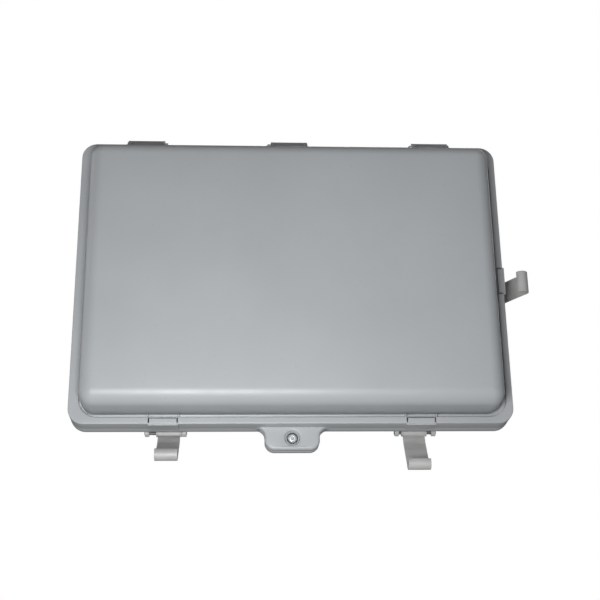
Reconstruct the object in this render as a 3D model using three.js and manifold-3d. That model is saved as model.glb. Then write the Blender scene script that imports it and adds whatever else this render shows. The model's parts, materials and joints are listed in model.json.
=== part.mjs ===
// Fiber termination box: a moulded wall-hung enclosure with a hinged, domed door.
// Millimetres. +X is right, +Z is up and the door faces -Y.
// The origin is the centre of the back face, the face that lies against the wall.
// "Depth" means the distance behind the front face of the door's flange.

import * as THREE from "three";
import { mergeVertices } from "three/addons/utils/BufferGeometryUtils.js";
import Module from "manifold-3d";

const wasm = await Module();
wasm.setup();

// ---------------------------------------------------------------- driving dimensions

const GAP = 0.3; // clearance between pieces that touch
const WALL = 3; // thickness of the moulded shells

const DOOR_WIDTH = 450; // door flange, measured at its front face
const DOOR_HEIGHT = 311;
const CORNER_RADIUS = 16;
const FLANGE_Y = -94; // front face of the door's flange

const DOME_RISE = 36;
const DOME_INSET = 11.8; // from the flange's edge to the foot of the dome
const DOME_CORNER = 14;
const DOME_SHOULDER = 13.5;
const DOME_DRAFT = 0.05; // inward lean per unit of height

const RIDGE_WIDTH = 6.5; // the outer band that the latches hook over
const GROOVE_DEPTH = 5;
const GROOVE_CORNER = 19;
const SKIRT_DEPTH = 19; // the door's skirt ends here, at the parting plane
const SKIRT_FLARE = 0.75;
const EDGE_ROUND = 1.5;
const SEAL_DEPTH = 8; // floor of the gasket channel
const SEAL_RIB_INSET = 9.5;
const SEAL_RIB_DEPTH = 14;

const BASE_WIDTH = 452;
const BASE_HEIGHT = 313;
const BASE_FLANGE_DEPTH = 33;
const BASE_PLATE = 3.5; // thickness of the flange's front plate
const CASING_INSET = 12;
const CASING_DRAFT = 0.02;
const TONGUE_INSET = 5; // the rim that presses into the gasket
const TONGUE_WIDTH = 2.5;

const HINGE_X = [-158, 0, 158];
const HINGE_AXIS_DEPTH = 16;
const HINGE_AXIS_Z = 161.6;
const HINGE_KNUCKLE = 30;
const HINGE_EAR = 5;
const KNUCKLE_RADIUS = 4;
const HINGE_EAR_RADIUS = 4.4;
const HOOD_TOP_Z = 170.5;
const PIN_RADIUS = 2;
const PIN_HOLE = 2.3;

const LATCH_X = 130; // the two lower latches stand at plus and minus this
const SIDE_LATCH_Z = -1.5;
const LATCH_PIVOT_DEPTH = 47;
const LATCH_PIVOT_INSET = 1; // pivot axis inside the door's edge
const STRAP_WIDTH = 23;
const STRAP_THICKNESS = 1.8;
const STRAP_EYE_WIDTH = 26.5;
const LATCH_EAR_GAP = 34;
const LATCH_EAR = 4.5;
const LATCH_EAR_RADIUS = 3.9;
const LEFT_LATCH_SLIP = 3.4; // how far each lower strap has slid along its pin, to the right
const RIGHT_LATCH_SLIP = -1.2;
const LATCH_PAD = 30;
const SIDE_LATCH_PAD = 29.5;
const LATCH_PAD_RISE = 1.5;
const LEFT_LATCH_ANGLE = 41; // each latch stands open by this, from hooked
const RIGHT_LATCH_ANGLE = 56;
const SIDE_LATCH_ANGLE = 30;

const TAB_HALF = 28;
const TAB_DROP = 23.5; // below the door's edge
const TAB_CORNER = 10;
const TAB_FILLET = 9;
const TAB_FACE_DEPTH = 14;
const TAB_SPLIT_DEPTH = 24;
const TAB_BACK_DEPTH = 33;
const LOCK_DROP = 11.6; // lock axis below the door's edge

const PLATE_HALF_WIDTH = 175;
const PLATE_HALF_HEIGHT = 118;
const PLATE_BACK_Y = -12.3;
const PLATE_FRONT_Y = -13.8;
const BOSS_X = 160;
const BOSS_Z = 104;

const TRAY_LEFT = -110;
const TRAY_RIGHT = -2;
const TRAY_HALF_HEIGHT = 90;
const TRAY_BACK_Y = -27;
const TRAY_FRONT_Y = -38;
const TRAY_AXIS_X = 4;
const TRAY_AXIS_Y = -31;

const PANEL_X = 92;
const ADAPTER_COUNT = 6;
const ADAPTER_PITCH = 24;
const ADAPTER_Y = -42;

const CABLE_Y = -26; // height of the cable entries above the back face
const FEEDER_Z = 90;
const SCREW_RADIUS = 2;
const SCREW_HOLE = 2.3;

// ---------------------------------------------------------------- materials

const finish = (color, roughness, metalness = 0) =>
  new THREE.MeshStandardMaterial({ color, roughness, metalness });

const GREY_SHELL = 0xabb0b1;
const LATCH_STEEL = 0x8c8886;
const BRIGHT_STEEL = 0xc9cbcc;
const BLACK_RUBBER = 0x1d1e20;
const BRASS = 0xb5924c;
const TRAY_WHITE = 0xe6e7e4;
const CLEAR_SMOKE = 0x9fb0b8;
const ADAPTER_BLUE = 0x1f5fa8;
const CAP_WHITE = 0xf0f0ec;

// ---------------------------------------------------------------- solid helpers

// A closed geometry as a manifold solid: only positions are kept and shared corners are merged.
function solid(geometry) {
  const loose = geometry.index ? geometry.toNonIndexed() : geometry.clone();
  loose.deleteAttribute("normal");
  loose.deleteAttribute("uv");
  const merged = mergeVertices(loose, 1e-4);
  return new wasm.Manifold(
    new wasm.Mesh({
      numProp: 3,
      vertProperties: merged.attributes.position.array,
      triVerts: new Uint32Array(merged.index.array),
    }),
  );
}

const join = (pieces) => pieces.reduce((whole, piece) => whole.add(piece));
const cut = (whole, tools) => tools.reduce((rest, tool) => rest.subtract(tool), whole);

function mesh(name, shape, material) {
  const result = shape.getMesh();
  const geometry = new THREE.BufferGeometry();
  geometry.setAttribute("position", new THREE.BufferAttribute(result.vertProperties, 3));
  geometry.setIndex(new THREE.BufferAttribute(result.triVerts, 1));
  geometry.computeVertexNormals();
  const part = new THREE.Mesh(geometry, material);
  part.name = name;
  return part;
}

// ---------------------------------------------------------------- shape helpers

const atDepth = (depth) => FLANGE_Y + depth;

function roundedRect(left, bottom, right, top, radius) {
  const shape = new THREE.Shape();
  shape.moveTo(left + radius, bottom);
  shape.lineTo(right - radius, bottom);
  shape.absarc(right - radius, bottom + radius, radius, -Math.PI / 2, 0);
  shape.lineTo(right, top - radius);
  shape.absarc(right - radius, top - radius, radius, 0, Math.PI / 2);
  shape.lineTo(left + radius, top);
  shape.absarc(left + radius, top - radius, radius, Math.PI / 2, Math.PI);
  shape.lineTo(left, bottom + radius);
  shape.absarc(left + radius, bottom + radius, radius, Math.PI, Math.PI * 1.5);
  shape.closePath();
  return shape;
}

// A rounded rectangle inside the door's outline by the given inset.
function doorOutline(inset, radius = Math.max(CORNER_RADIUS - inset, 2)) {
  const x = DOOR_WIDTH / 2 - inset;
  const z = DOOR_HEIGHT / 2 - inset;
  return roundedRect(-x, -z, x, z, radius);
}

function baseOutline(inset, radius = Math.max(CORNER_RADIUS - inset, 2)) {
  const x = BASE_WIDTH / 2 - inset;
  const z = BASE_HEIGHT / 2 - inset;
  return roundedRect(-x, -z, x, z, radius);
}

// Extrudes an outline drawn in X and Z from backY forward to frontY.
function slabGeometry(shape, backY, frontY, round = 0, roundSteps = 2) {
  const geometry = new THREE.ExtrudeGeometry(shape, {
    depth: backY - frontY - 2 * round,
    curveSegments: 4,
    bevelEnabled: round > 0,
    bevelThickness: round,
    bevelSize: round,
    bevelOffset: -round,
    bevelSegments: roundSteps,
  });
  geometry.rotateX(Math.PI / 2);
  geometry.translate(0, backY - round, 0);
  return geometry;
}

const slab = (...args) => solid(slabGeometry(...args));

// Moves every corner of the outline inward (or outward) in step with its distance from baseY.
function lean(geometry, baseY, slope) {
  const place = geometry.getAttribute("position");
  for (let i = 0; i < place.count; i++) {
    const inward = Math.abs(place.getY(i) - baseY) * slope;
    place.setX(i, place.getX(i) - Math.sign(place.getX(i)) * inward);
    place.setZ(i, place.getZ(i) - Math.sign(place.getZ(i)) * inward);
  }
  return geometry;
}

// Extrudes an outline drawn in Y and Z from x = from to x = to.
function bar(shape, from, to, curveSegments = 5) {
  const geometry = new THREE.ExtrudeGeometry(shape, {
    depth: to - from,
    curveSegments,
    bevelEnabled: false,
  });
  const axes = new THREE.Matrix4().makeBasis(
    new THREE.Vector3(0, 1, 0),
    new THREE.Vector3(0, 0, 1),
    new THREE.Vector3(1, 0, 0),
  );
  geometry.applyMatrix4(axes);
  geometry.translate(from, 0, 0);
  return solid(geometry);
}

function box(x0, x1, y0, y1, z0, z1) {
  const geometry = new THREE.BoxGeometry(x1 - x0, y1 - y0, z1 - z0);
  geometry.translate((x0 + x1) / 2, (y0 + y1) / 2, (z0 + z1) / 2);
  return solid(geometry);
}

const AXIS_TURN = {
  X: (geometry) => geometry.rotateZ(-Math.PI / 2),
  Y: (geometry) => geometry,
  Z: (geometry) => geometry.rotateX(Math.PI / 2),
};

// A round rod along the named axis, starting at the given point.
function rod(axis, start, radius, length, segments = 14) {
  const geometry = new THREE.CylinderGeometry(radius, radius, length, segments);
  geometry.translate(0, length / 2, 0);
  AXIS_TURN[axis](geometry);
  geometry.translate(...start);
  return solid(geometry);
}

// A turned piece along the named axis; profile points are [radius, distance along the axis].
function turned(axis, start, profile, segments = 18) {
  const points = profile.map(([radius, along]) => new THREE.Vector2(radius, along));
  const geometry = new THREE.LatheGeometry(points, segments);
  AXIS_TURN[axis](geometry);
  geometry.translate(...start);
  return solid(geometry);
}

const polygon = (points) => new THREE.Shape(points.map(([u, v]) => new THREE.Vector2(u, v)));

// Points along an arc, with the angle measured from the first axis.
function arcPoints(u, v, radius, from, to, steps) {
  return Array.from({ length: steps + 1 }, (_, i) => {
    const angle = from + ((to - from) * i) / steps;
    return [u + radius * Math.cos(angle), v + radius * Math.sin(angle)];
  });
}

// The outline of a strip of even thickness whose middle follows the given points.
function strip(points, thickness) {
  const sides = points.map(([u, v], i) => {
    const [u0, v0] = points[Math.max(i - 1, 0)];
    const [u1, v1] = points[Math.min(i + 1, points.length - 1)];
    const length = Math.hypot(u1 - u0, v1 - v0);
    const du = ((v1 - v0) / length) * (thickness / 2);
    const dv = ((u1 - u0) / length) * (thickness / 2);
    return { right: [u + du, v - dv], left: [u - du, v + dv] };
  });
  return polygon([
    ...sides.map((side) => side.right),
    ...sides.map((side) => side.left).reverse(),
  ]);
}

// ---------------------------------------------------------------- latches

const LATCH_PIVOT_Y = atDepth(LATCH_PIVOT_DEPTH);
const LATCH_OUT = DOOR_HEIGHT / 2 - LATCH_PIVOT_INSET;
const SIDE_LATCH_OUT = DOOR_WIDTH / 2 - LATCH_PIVOT_INSET;

// The hooked strap, drawn about its pivot: forward is -Y and away from the box is -Z.
function strapSolid() {
  const eyeRadius = PIN_HOLE + STRAP_THICKNESS / 2;
  const hookRadius = 5.5;
  const hookReach = 46.8;
  const strapOut = 4.2;
  const tail = 1.2; // how far the hook turns back behind the ridge's face
  const hookMiddle = strapOut - hookRadius;
  const forwardAndOut = [
    ...arcPoints(0, 0, eyeRadius, Math.PI / 2 + 4.97, Math.PI / 2 + 0.3, 11),
    [0, eyeRadius],
    [5, eyeRadius + 0.5],
    [11, 4.9],
    [13, 4.9],
    [30, 4.4],
    ...arcPoints(hookReach, hookMiddle, hookRadius, Math.PI / 2, -Math.PI / 2, 8),
    [hookReach - tail, hookMiddle - hookRadius],
  ];
  const outline = strip(
    forwardAndOut.map(([forward, out]) => [-forward, -out]),
    STRAP_THICKNESS,
  );
  const strap = bar(outline, -STRAP_WIDTH / 2, STRAP_WIDTH / 2);
  const eye = new THREE.Shape().absarc(0, 0, eyeRadius + STRAP_THICKNESS / 2, 0, Math.PI * 2);
  eye.holes.push(new THREE.Path().absarc(0, 0, PIN_HOLE, 0, Math.PI * 2, true));
  const wideEye = bar(eye, -STRAP_EYE_WIDTH / 2, STRAP_EYE_WIDTH / 2, 8);
  return cut(strap.add(wideEye), [rod("X", [-30, 0, 0], PIN_HOLE, 60, 16)]);
}

const LATCH_PIN_LENGTH = LATCH_EAR_GAP + 2 * LATCH_EAR + 1;

function latch(name, openDegrees, slip) {
  const group = new THREE.Group();
  const strap = mesh(`latch_strap_${name}`, strapSolid(), finish(LATCH_STEEL, 0.45, 0.7));
  strap.rotation.x = THREE.MathUtils.degToRad(openDegrees);
  strap.position.x = slip;
  const pinShape = rod("X", [-LATCH_PIN_LENGTH / 2, 0, 0], PIN_RADIUS, LATCH_PIN_LENGTH);
  const pin = mesh(`latch_pin_${name}`, pinShape, finish(BRIGHT_STEEL, 0.3, 0.9));
  group.add(strap, pin);
  return group;
}

function latches() {
  const left = latch("left", LEFT_LATCH_ANGLE, LEFT_LATCH_SLIP);
  left.position.set(-LATCH_X, LATCH_PIVOT_Y, -LATCH_OUT);
  const right = latch("right", RIGHT_LATCH_ANGLE, RIGHT_LATCH_SLIP);
  right.position.set(LATCH_X, LATCH_PIVOT_Y, -LATCH_OUT);
  const side = latch("side", SIDE_LATCH_ANGLE, 0);
  side.position.set(SIDE_LATCH_OUT, LATCH_PIVOT_Y, SIDE_LATCH_Z);
  side.rotation.y = -Math.PI / 2;
  return [left, right, side];
}

// One pair of pivot ears about the latch's own pivot, reaching inward to the casing.
function latchEars(reach) {
  const foot = 9;
  const outline = polygon([
    [-foot, reach],
    [-LATCH_EAR_RADIUS, 0],
    ...arcPoints(0, 0, LATCH_EAR_RADIUS, Math.PI, Math.PI * 2, 7),
    [foot, reach],
  ]);
  outline.holes.push(new THREE.Path().absarc(0, 0, PIN_HOLE, 0, Math.PI * 2, true));
  const inner = LATCH_EAR_GAP / 2;
  return [
    bar(outline, -inner - LATCH_EAR, -inner, 6),
    bar(outline, inner, inner + LATCH_EAR, 6),
  ];
}

// Turns a solid drawn for the lower edge round to the right-hand edge.
const ontoSide = (shape) => shape.rotate([0, -90, 0]);

// ---------------------------------------------------------------- lock tab

const LOCK_Z = -DOOR_HEIGHT / 2 - LOCK_DROP;

// The tab below the lower edge: round lower corners and a concave fillet up each side.
function tabOutline() {
  const top = -DOOR_HEIGHT / 2 + 8;
  const edge = -DOOR_HEIGHT / 2 - SKIRT_FLARE;
  const bottom = -DOOR_HEIGHT / 2 - TAB_DROP;
  const shape = new THREE.Shape();
  shape.moveTo(-TAB_HALF - TAB_FILLET, top);
  shape.lineTo(-TAB_HALF - TAB_FILLET, edge);
  shape.absarc(-TAB_HALF - TAB_FILLET, edge - TAB_FILLET, TAB_FILLET, Math.PI / 2, 0, true);
  shape.lineTo(-TAB_HALF, bottom + TAB_CORNER);
  shape.absarc(-TAB_HALF + TAB_CORNER, bottom + TAB_CORNER, TAB_CORNER, Math.PI, Math.PI * 1.5);
  shape.lineTo(TAB_HALF - TAB_CORNER, bottom);
  shape.absarc(TAB_HALF - TAB_CORNER, bottom + TAB_CORNER, TAB_CORNER, -Math.PI / 2, 0);
  shape.lineTo(TAB_HALF, edge - TAB_FILLET);
  shape.absarc(TAB_HALF + TAB_FILLET, edge - TAB_FILLET, TAB_FILLET, Math.PI, Math.PI / 2, true);
  shape.lineTo(TAB_HALF + TAB_FILLET, top);
  shape.closePath();
  return shape;
}

const LOCK_RECESS = 5.6;
const LOCK_RECESS_MOUTH = 7;
const LOCK_RECESS_FLOOR = 22;
const LOCK_HOLE = 3.2;
const LOCK_SHANK = 2.5;
const INSERT_RADIUS = 6.5;
const INSERT_DEPTH = TAB_SPLIT_DEPTH + 2 * GAP;
const INSERT_LENGTH = 7;
const WING_HALF = 4.6; // half length of the bolt's cross wings
const WING_HALF_HEIGHT = 1.2;

// A quarter-turn bolt: level wings pass the insert's slot and upright wings are held behind it.
function lockBolt() {
  const headTop = TAB_FACE_DEPTH + 0.8;
  const headHeight = 2.8;
  const headRadius = 4;
  const socketRadius = 1.9;
  const wingFront = INSERT_DEPTH + INSERT_LENGTH + 0.5;
  const wingBack = wingFront + 2;
  const head = turned("Y", [0, atDepth(headTop), LOCK_Z], [
    [0, 0],
    [headRadius - 0.6, 0],
    [headRadius, 0.6],
    [headRadius, headHeight],
    [0, headHeight],
  ], 5);
  const shankStart = headTop + headHeight - 0.5;
  const shank = rod(
    "Y", [0, atDepth(shankStart), LOCK_Z], LOCK_SHANK, wingBack + 0.5 - shankStart,
  );
  const wings = box(
    -WING_HALF, WING_HALF, atDepth(wingFront), atDepth(wingBack),
    LOCK_Z - WING_HALF_HEIGHT, LOCK_Z + WING_HALF_HEIGHT,
  );
  const socket = rod("Y", [0, atDepth(headTop) - 1, LOCK_Z], socketRadius, 3, 5);
  return cut(join([head, shank, wings]), [socket]);
}

function lockWasher() {
  const front = TAB_FACE_DEPTH + 3.6 + GAP;
  const ring = rod("Y", [0, atDepth(front), LOCK_Z], 5, LOCK_RECESS_FLOOR - GAP - front, 16);
  return cut(ring, [rod("Y", [0, atDepth(front) - 1, LOCK_Z], LOCK_SHANK + GAP, 8)]);
}

function lockInsert() {
  const front = atDepth(INSERT_DEPTH);
  const slotHalf = WING_HALF + 0.6;
  const slotHalfHeight = WING_HALF_HEIGHT + 0.7;
  const body = rod("Y", [0, front, LOCK_Z], INSERT_RADIUS, INSERT_LENGTH, 18);
  const slot = box(
    -slotHalf, slotHalf, front - 1, front + INSERT_LENGTH + 1,
    LOCK_Z - slotHalfHeight, LOCK_Z + slotHalfHeight,
  );
  const bore = rod("Y", [0, front - 1, LOCK_Z], LOCK_SHANK + 0.7, INSERT_LENGTH + 2);
  return cut(body, [slot, bore]);
}

function lockParts() {
  return [
    mesh("lock_bolt", lockBolt(), finish(BRIGHT_STEEL, 0.25, 0.95)),
    mesh("lock_washer", lockWasher(), finish(BLACK_RUBBER, 0.8)),
    mesh("lock_insert", lockInsert(), finish(BRASS, 0.35, 0.9)),
  ];
}

// ---------------------------------------------------------------- door

const PARTING_Y = atDepth(SKIRT_DEPTH);

function domeSolid(wall) {
  const inset = DOME_INSET + wall;
  const shape = doorOutline(inset, DOME_CORNER - wall);
  const front = FLANGE_Y - DOME_RISE + wall;
  const geometry = slabGeometry(shape, FLANGE_Y + 20, front, DOME_SHOULDER - wall, wall > 0 ? 3 : 5);
  const place = geometry.getAttribute("position");
  for (let i = 0; i < place.count; i++) {
    if (place.getY(i) > FLANGE_Y) place.setY(i, Math.max(place.getY(i), FLANGE_Y + 4));
  }
  return solid(lean(geometry, FLANGE_Y, DOME_DRAFT));
}

// The flange with its flared skirt, without the dome.
function doorFlange() {
  const backY = PARTING_Y - GAP / 2;
  const shape = doorOutline(0);
  const geometry = slabGeometry(shape, backY + EDGE_ROUND, FLANGE_Y, EDGE_ROUND);
  const flare = -SKIRT_FLARE / SKIRT_DEPTH;
  const block = solid(lean(geometry, FLANGE_Y, flare));
  return cut(block, [box(-300, 300, backY, backY + 20, -300, 300)]);
}

// The channel between ridge and dome, along the two sides that carry latches.
function latchGroove() {
  const x = DOOR_WIDTH / 2 - DOME_INSET;
  const z = DOOR_HEIGHT / 2 - DOME_INSET;
  const wide = DOME_INSET - RIDGE_WIDTH;
  const outline = roundedRect(-x, -z - wide, x + wide, z, GROOVE_CORNER);
  return slab(outline, atDepth(GROOVE_DEPTH), FLANGE_Y - 5);
}

// A square-edged block on the ridge where a strap bears, drawn for the lower edge at x = 0.
function latchPad(length) {
  const edge = -DOOR_HEIGHT / 2 - LATCH_PAD_RISE;
  const inner = -DOOR_HEIGHT / 2 + RIDGE_WIDTH;
  const half = length / 2;
  return box(-half, half, FLANGE_Y, PARTING_Y - GAP / 2, edge, inner);
}

function hingeKnuckle(x) {
  const axisY = atDepth(HINGE_AXIS_DEPTH);
  const backY = PARTING_Y - GAP / 2;
  const outline = polygon([
    [axisY - KNUCKLE_RADIUS, DOOR_HEIGHT / 2 - 2],
    [backY, DOOR_HEIGHT / 2 - 2],
    [backY, HINGE_AXIS_Z - KNUCKLE_RADIUS + 1],
    ...arcPoints(axisY, HINGE_AXIS_Z, KNUCKLE_RADIUS, -0.75, Math.PI, 8),
  ]);
  return bar(outline, x - HINGE_KNUCKLE / 2, x + HINGE_KNUCKLE / 2);
}

function doorTab() {
  const backY = atDepth(TAB_SPLIT_DEPTH);
  const block = slab(tabOutline(), backY + 2.5, atDepth(TAB_FACE_DEPTH), 2.5);
  const aboveFlange = box(-60, 60, PARTING_Y - GAP / 2, backY + 9, -BASE_HEIGHT / 2 - 2 * GAP, -100);
  return cut(block, [box(-60, 60, backY, backY + 9, -200, -100), aboveFlange]);
}

function lockRecess() {
  const mouth = TAB_FACE_DEPTH;
  const profile = [
    [0, -1],
    [LOCK_RECESS_MOUTH + 1, -1],
    [LOCK_RECESS_MOUTH, 0],
    [LOCK_RECESS, 1.4],
    [LOCK_RECESS, LOCK_RECESS_FLOOR - mouth],
    [LOCK_HOLE, LOCK_RECESS_FLOOR - mouth],
    [LOCK_HOLE, TAB_SPLIT_DEPTH - mouth + 2],
    [0, TAB_SPLIT_DEPTH - mouth + 2],
  ];
  return turned("Y", [0, atDepth(mouth), LOCK_Z], profile, 24);
}

function doorShell() {
  const pad = latchPad(LATCH_PAD);
  const sidePad = ontoSide(latchPad(SIDE_LATCH_PAD).translate([SIDE_LATCH_Z, 0, DOOR_HEIGHT / 2]))
    .translate([DOOR_WIDTH / 2, 0, 0]);
  const flange = join([
    doorFlange(),
    pad.translate([-LATCH_X, 0, 0]),
    pad.translate([LATCH_X, 0, 0]),
    sidePad,
    ...HINGE_X.map(hingeKnuckle),
    doorTab(),
  ]);
  const outside = flange.subtract(latchGroove()).add(domeSolid(0));
  const channelRing = slab(
    doorOutline(WALL), atDepth(SEAL_RIB_DEPTH + 1), atDepth(SEAL_DEPTH),
  ).subtract(slab(doorOutline(SEAL_RIB_INSET), atDepth(30), atDepth(0)));
  const mouth = slab(doorOutline(WALL), atDepth(30), atDepth(SEAL_RIB_DEPTH));
  const throat = slab(
    doorOutline(DOME_INSET + WALL, DOME_CORNER - WALL), atDepth(30), FLANGE_Y,
  );
  const tabKeep = slab(tabOutline(), atDepth(60), atDepth(-60));
  const inside = join([channelRing, mouth, throat, domeSolid(WALL)])
    .subtract(tabKeep.intersect(box(-60, 60, -100, 0, -200, -DOOR_HEIGHT / 2 + WALL)));
  const pinBores = HINGE_X.map((x) =>
    rod("X", [x - 40, atDepth(HINGE_AXIS_DEPTH), HINGE_AXIS_Z], PIN_HOLE, 80));
  return cut(outside, [inside, lockRecess(), ...pinBores]);
}

function doorGasket() {
  const ring = slab(
    doorOutline(WALL + GAP), atDepth(SEAL_RIB_DEPTH - 1), atDepth(SEAL_DEPTH + GAP),
  );
  return ring.subtract(slab(doorOutline(SEAL_RIB_INSET - GAP), atDepth(30), atDepth(0)));
}

// ---------------------------------------------------------------- base

const BASE_FRONT_Y = PARTING_Y + GAP / 2;
const CASING_HALF_X = BASE_WIDTH / 2 - CASING_INSET;
const CASING_HALF_Z = BASE_HEIGHT / 2 - CASING_INSET;
const CASING_CORNER = 12;

function casing(inset, backY) {
  const outline = baseOutline(CASING_INSET + inset, CASING_CORNER - inset);
  return solid(lean(slabGeometry(outline, backY, BASE_FRONT_Y), BASE_FRONT_Y, CASING_DRAFT));
}

// Stiffening webs in the channel behind the flange, square to each side.
function flangeWebs() {
  const y0 = BASE_FRONT_Y + BASE_PLATE - 1;
  const y1 = atDepth(BASE_FLANGE_DEPTH) - 2;
  const half = 1.25;
  const reachX = BASE_WIDTH / 2 - 1;
  const reachZ = BASE_HEIGHT / 2 - 1;
  const webs = [];
  for (const x of [-190, -75, 75, 190]) {
    webs.push(box(x - half, x + half, y0, y1, -reachZ, -CASING_HALF_Z + 2));
    webs.push(box(x - half, x + half, y0, y1, CASING_HALF_Z - 2, reachZ));
  }
  for (const z of [-100, 50, 100]) {
    webs.push(box(-reachX, -CASING_HALF_X + 2, y0, y1, z - half, z + half));
    webs.push(box(CASING_HALF_X - 2, reachX, y0, y1, z - half, z + half));
  }
  return webs;
}

// Two pin ears and the hood that shields them, standing on the base's upper edge.
function hingeBracket(x) {
  const axisY = atDepth(HINGE_AXIS_DEPTH);
  const rootY = BASE_FRONT_Y + 0.4;
  const backY = atDepth(BASE_FLANGE_DEPTH) - 2;
  const rootZ = BASE_HEIGHT / 2 - 2;
  const hoodUnder = HOOD_TOP_Z - 2;
  const ear = polygon([
    [rootY, rootZ],
    [backY, rootZ],
    [backY, HOOD_TOP_Z],
    [axisY + HINGE_EAR_RADIUS, HOOD_TOP_Z],
    ...arcPoints(axisY, HINGE_AXIS_Z, HINGE_EAR_RADIUS, 0.6, Math.PI * 1.5, 8),
    [rootY, HINGE_AXIS_Z - HINGE_EAR_RADIUS],
  ]);
  const hood = polygon([
    [backY - 3, rootZ],
    [backY, rootZ],
    [backY, HOOD_TOP_Z],
    [axisY + HINGE_EAR_RADIUS, HOOD_TOP_Z],
    [axisY + HINGE_EAR_RADIUS, hoodUnder],
    [backY - 3, hoodUnder],
  ]);
  const inner = HINGE_KNUCKLE / 2 + GAP;
  const outer = inner + HINGE_EAR;
  return [
    bar(ear, x - outer, x - inner),
    bar(ear, x + inner, x + outer),
    bar(hood, x - outer, x + outer),
  ];
}

function baseTab() {
  const block = slab(tabOutline(), atDepth(TAB_BACK_DEPTH), atDepth(TAB_SPLIT_DEPTH) + GAP);
  return block.subtract(box(-60, 60, -100, 0, -BASE_HEIGHT / 2 + WALL, 0));
}

const WALL_HOLE_X = 195;
const WALL_HOLE_Z = 125;
const WALL_HOLE = 3.5;
const corners = (x, z) => [[-x, -z], [x, -z], [-x, z], [x, z]];

const FEEDER_HOLE = 11;
const DROP_HALF_Z = 42;
const DROP_HALF_Y = 7;

// Openings through the left-hand wall: two round feeder entries and one long one for drops.
function cableEntries() {
  const outline = roundedRect(
    CABLE_Y - DROP_HALF_Y, -DROP_HALF_Z, CABLE_Y + DROP_HALF_Y, DROP_HALF_Z, DROP_HALF_Y,
  );
  return [
    ...[-FEEDER_Z, FEEDER_Z].map((z) => rod("X", [-230, CABLE_Y, z], FEEDER_HOLE, 40, 20)),
    bar(outline, -230, -190),
  ];
}

function baseShell() {
  const flange = cut(slab(baseOutline(0), atDepth(BASE_FLANGE_DEPTH), BASE_FRONT_Y), [
    slab(baseOutline(WALL), atDepth(BASE_FLANGE_DEPTH) + 1, BASE_FRONT_Y + BASE_PLATE),
  ]);
  const tongueBackY = BASE_FRONT_Y + 1;
  const tongueFrontY = atDepth(SEAL_RIB_DEPTH - 1) + GAP;
  const tongue = slab(doorOutline(TONGUE_INSET), tongueBackY, tongueFrontY)
    .subtract(slab(doorOutline(TONGUE_INSET + TONGUE_WIDTH), 0, -120));
  const ears = latchEars(LATCH_OUT - CASING_HALF_Z + 2);
  const sideEars = latchEars(SIDE_LATCH_OUT - CASING_HALF_X + 2);
  const bosses = corners(BOSS_X, BOSS_Z).map(([x, z]) =>
    rod("Y", [x, PLATE_BACK_Y + GAP, z], 5, 11, 14));
  const outside = join([
    flange,
    casing(0, 0),
    ...flangeWebs(),
    ...HINGE_X.flatMap(hingeBracket),
    ...ears.map((ear) => ear.translate([-LATCH_X, LATCH_PIVOT_Y, -LATCH_OUT])),
    ...ears.map((ear) => ear.translate([LATCH_X, LATCH_PIVOT_Y, -LATCH_OUT])),
    ...sideEars.map((ear) =>
      ontoSide(ear).translate([SIDE_LATCH_OUT, LATCH_PIVOT_Y, SIDE_LATCH_Z])),
    baseTab(),
  ]);
  const room = casing(WALL, -WALL).add(slab(
    baseOutline(CASING_INSET + WALL, CASING_CORNER - WALL), BASE_FRONT_Y + 1, -90,
  ));
  const pinBores = HINGE_X.map((x) =>
    rod("X", [x - 40, atDepth(HINGE_AXIS_DEPTH), HINGE_AXIS_Z], PIN_HOLE, 80));
  const wallHoles = corners(WALL_HOLE_X, WALL_HOLE_Z).map(([x, z]) =>
    rod("Y", [x, -10, z], WALL_HOLE, 20));
  const insertBore = rod(
    "Y", [0, atDepth(TAB_SPLIT_DEPTH) - 1, LOCK_Z], INSERT_RADIUS + GAP, 20, 18,
  );
  const shell = cut(outside, [room, ...pinBores, ...wallHoles, insertBore, ...cableEntries()]);
  const bossHoles = corners(BOSS_X, BOSS_Z).map(([x, z]) =>
    rod("Y", [x, -20, z], SCREW_HOLE, 15));
  return cut(join([shell, tongue, ...bosses]), bossHoles);
}

// ---------------------------------------------------------------- hinge pins, plugs and seals

// A straight pin with one domed head, which is on the right where headSide is 1.
function hingePin(name, x, headSide) {
  const half = HINGE_KNUCKLE / 2 + GAP + HINGE_EAR + GAP;
  const pin = turned("X", [0, 0, 0], [
    [0, -half - 1.5],
    [PIN_RADIUS - 0.5, -half - 1.5],
    [PIN_RADIUS, -half - 1],
    [PIN_RADIUS, half],
    [3.6, half],
    [3.6, half + 2.8],
    [3, half + 3.9],
    [1.6, half + 4.4],
    [0, half + 4.4],
  ], 14);
  const part = mesh(name, pin, finish(BRIGHT_STEEL, 0.3, 0.9));
  part.position.set(x, atDepth(HINGE_AXIS_DEPTH), HINGE_AXIS_Z);
  if (headSide < 0) part.rotation.z = Math.PI;
  return part;
}

// The rubber plug that closes a wall-screw hole from inside.
function wallPlug() {
  return turned("Y", [0, 0, 0], [
    [0, -6],
    [5, -6],
    [6.5, -WALL - GAP - 1],
    [6.5, -WALL - GAP],
    [WALL_HOLE - GAP, -WALL - GAP],
    [WALL_HOLE - GAP, -0.6],
    [0, -0.6],
  ], 14);
}

// An uncut feeder grommet: a flange each side of the wall and a stepped nipple outside.
function feederGrommet() {
  const wallOut = 0.8;
  const wallIn = -WALL - 0.8;
  return turned("X", [0, 0, 0], [
    [0, wallIn - 2],
    [12.5, wallIn - 2],
    [13.5, wallIn],
    [FEEDER_HOLE - GAP, wallIn],
    [FEEDER_HOLE - GAP, wallOut],
    [14, wallOut],
    [13.4, wallOut + 2.4],
    [8.5, wallOut + 2.8],
    [8.1, wallOut + 4.6],
    [6, wallOut + 4.8],
    [5.7, wallOut + 6.4],
    [0, wallOut + 6.4],
  ], 18);
}

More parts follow.
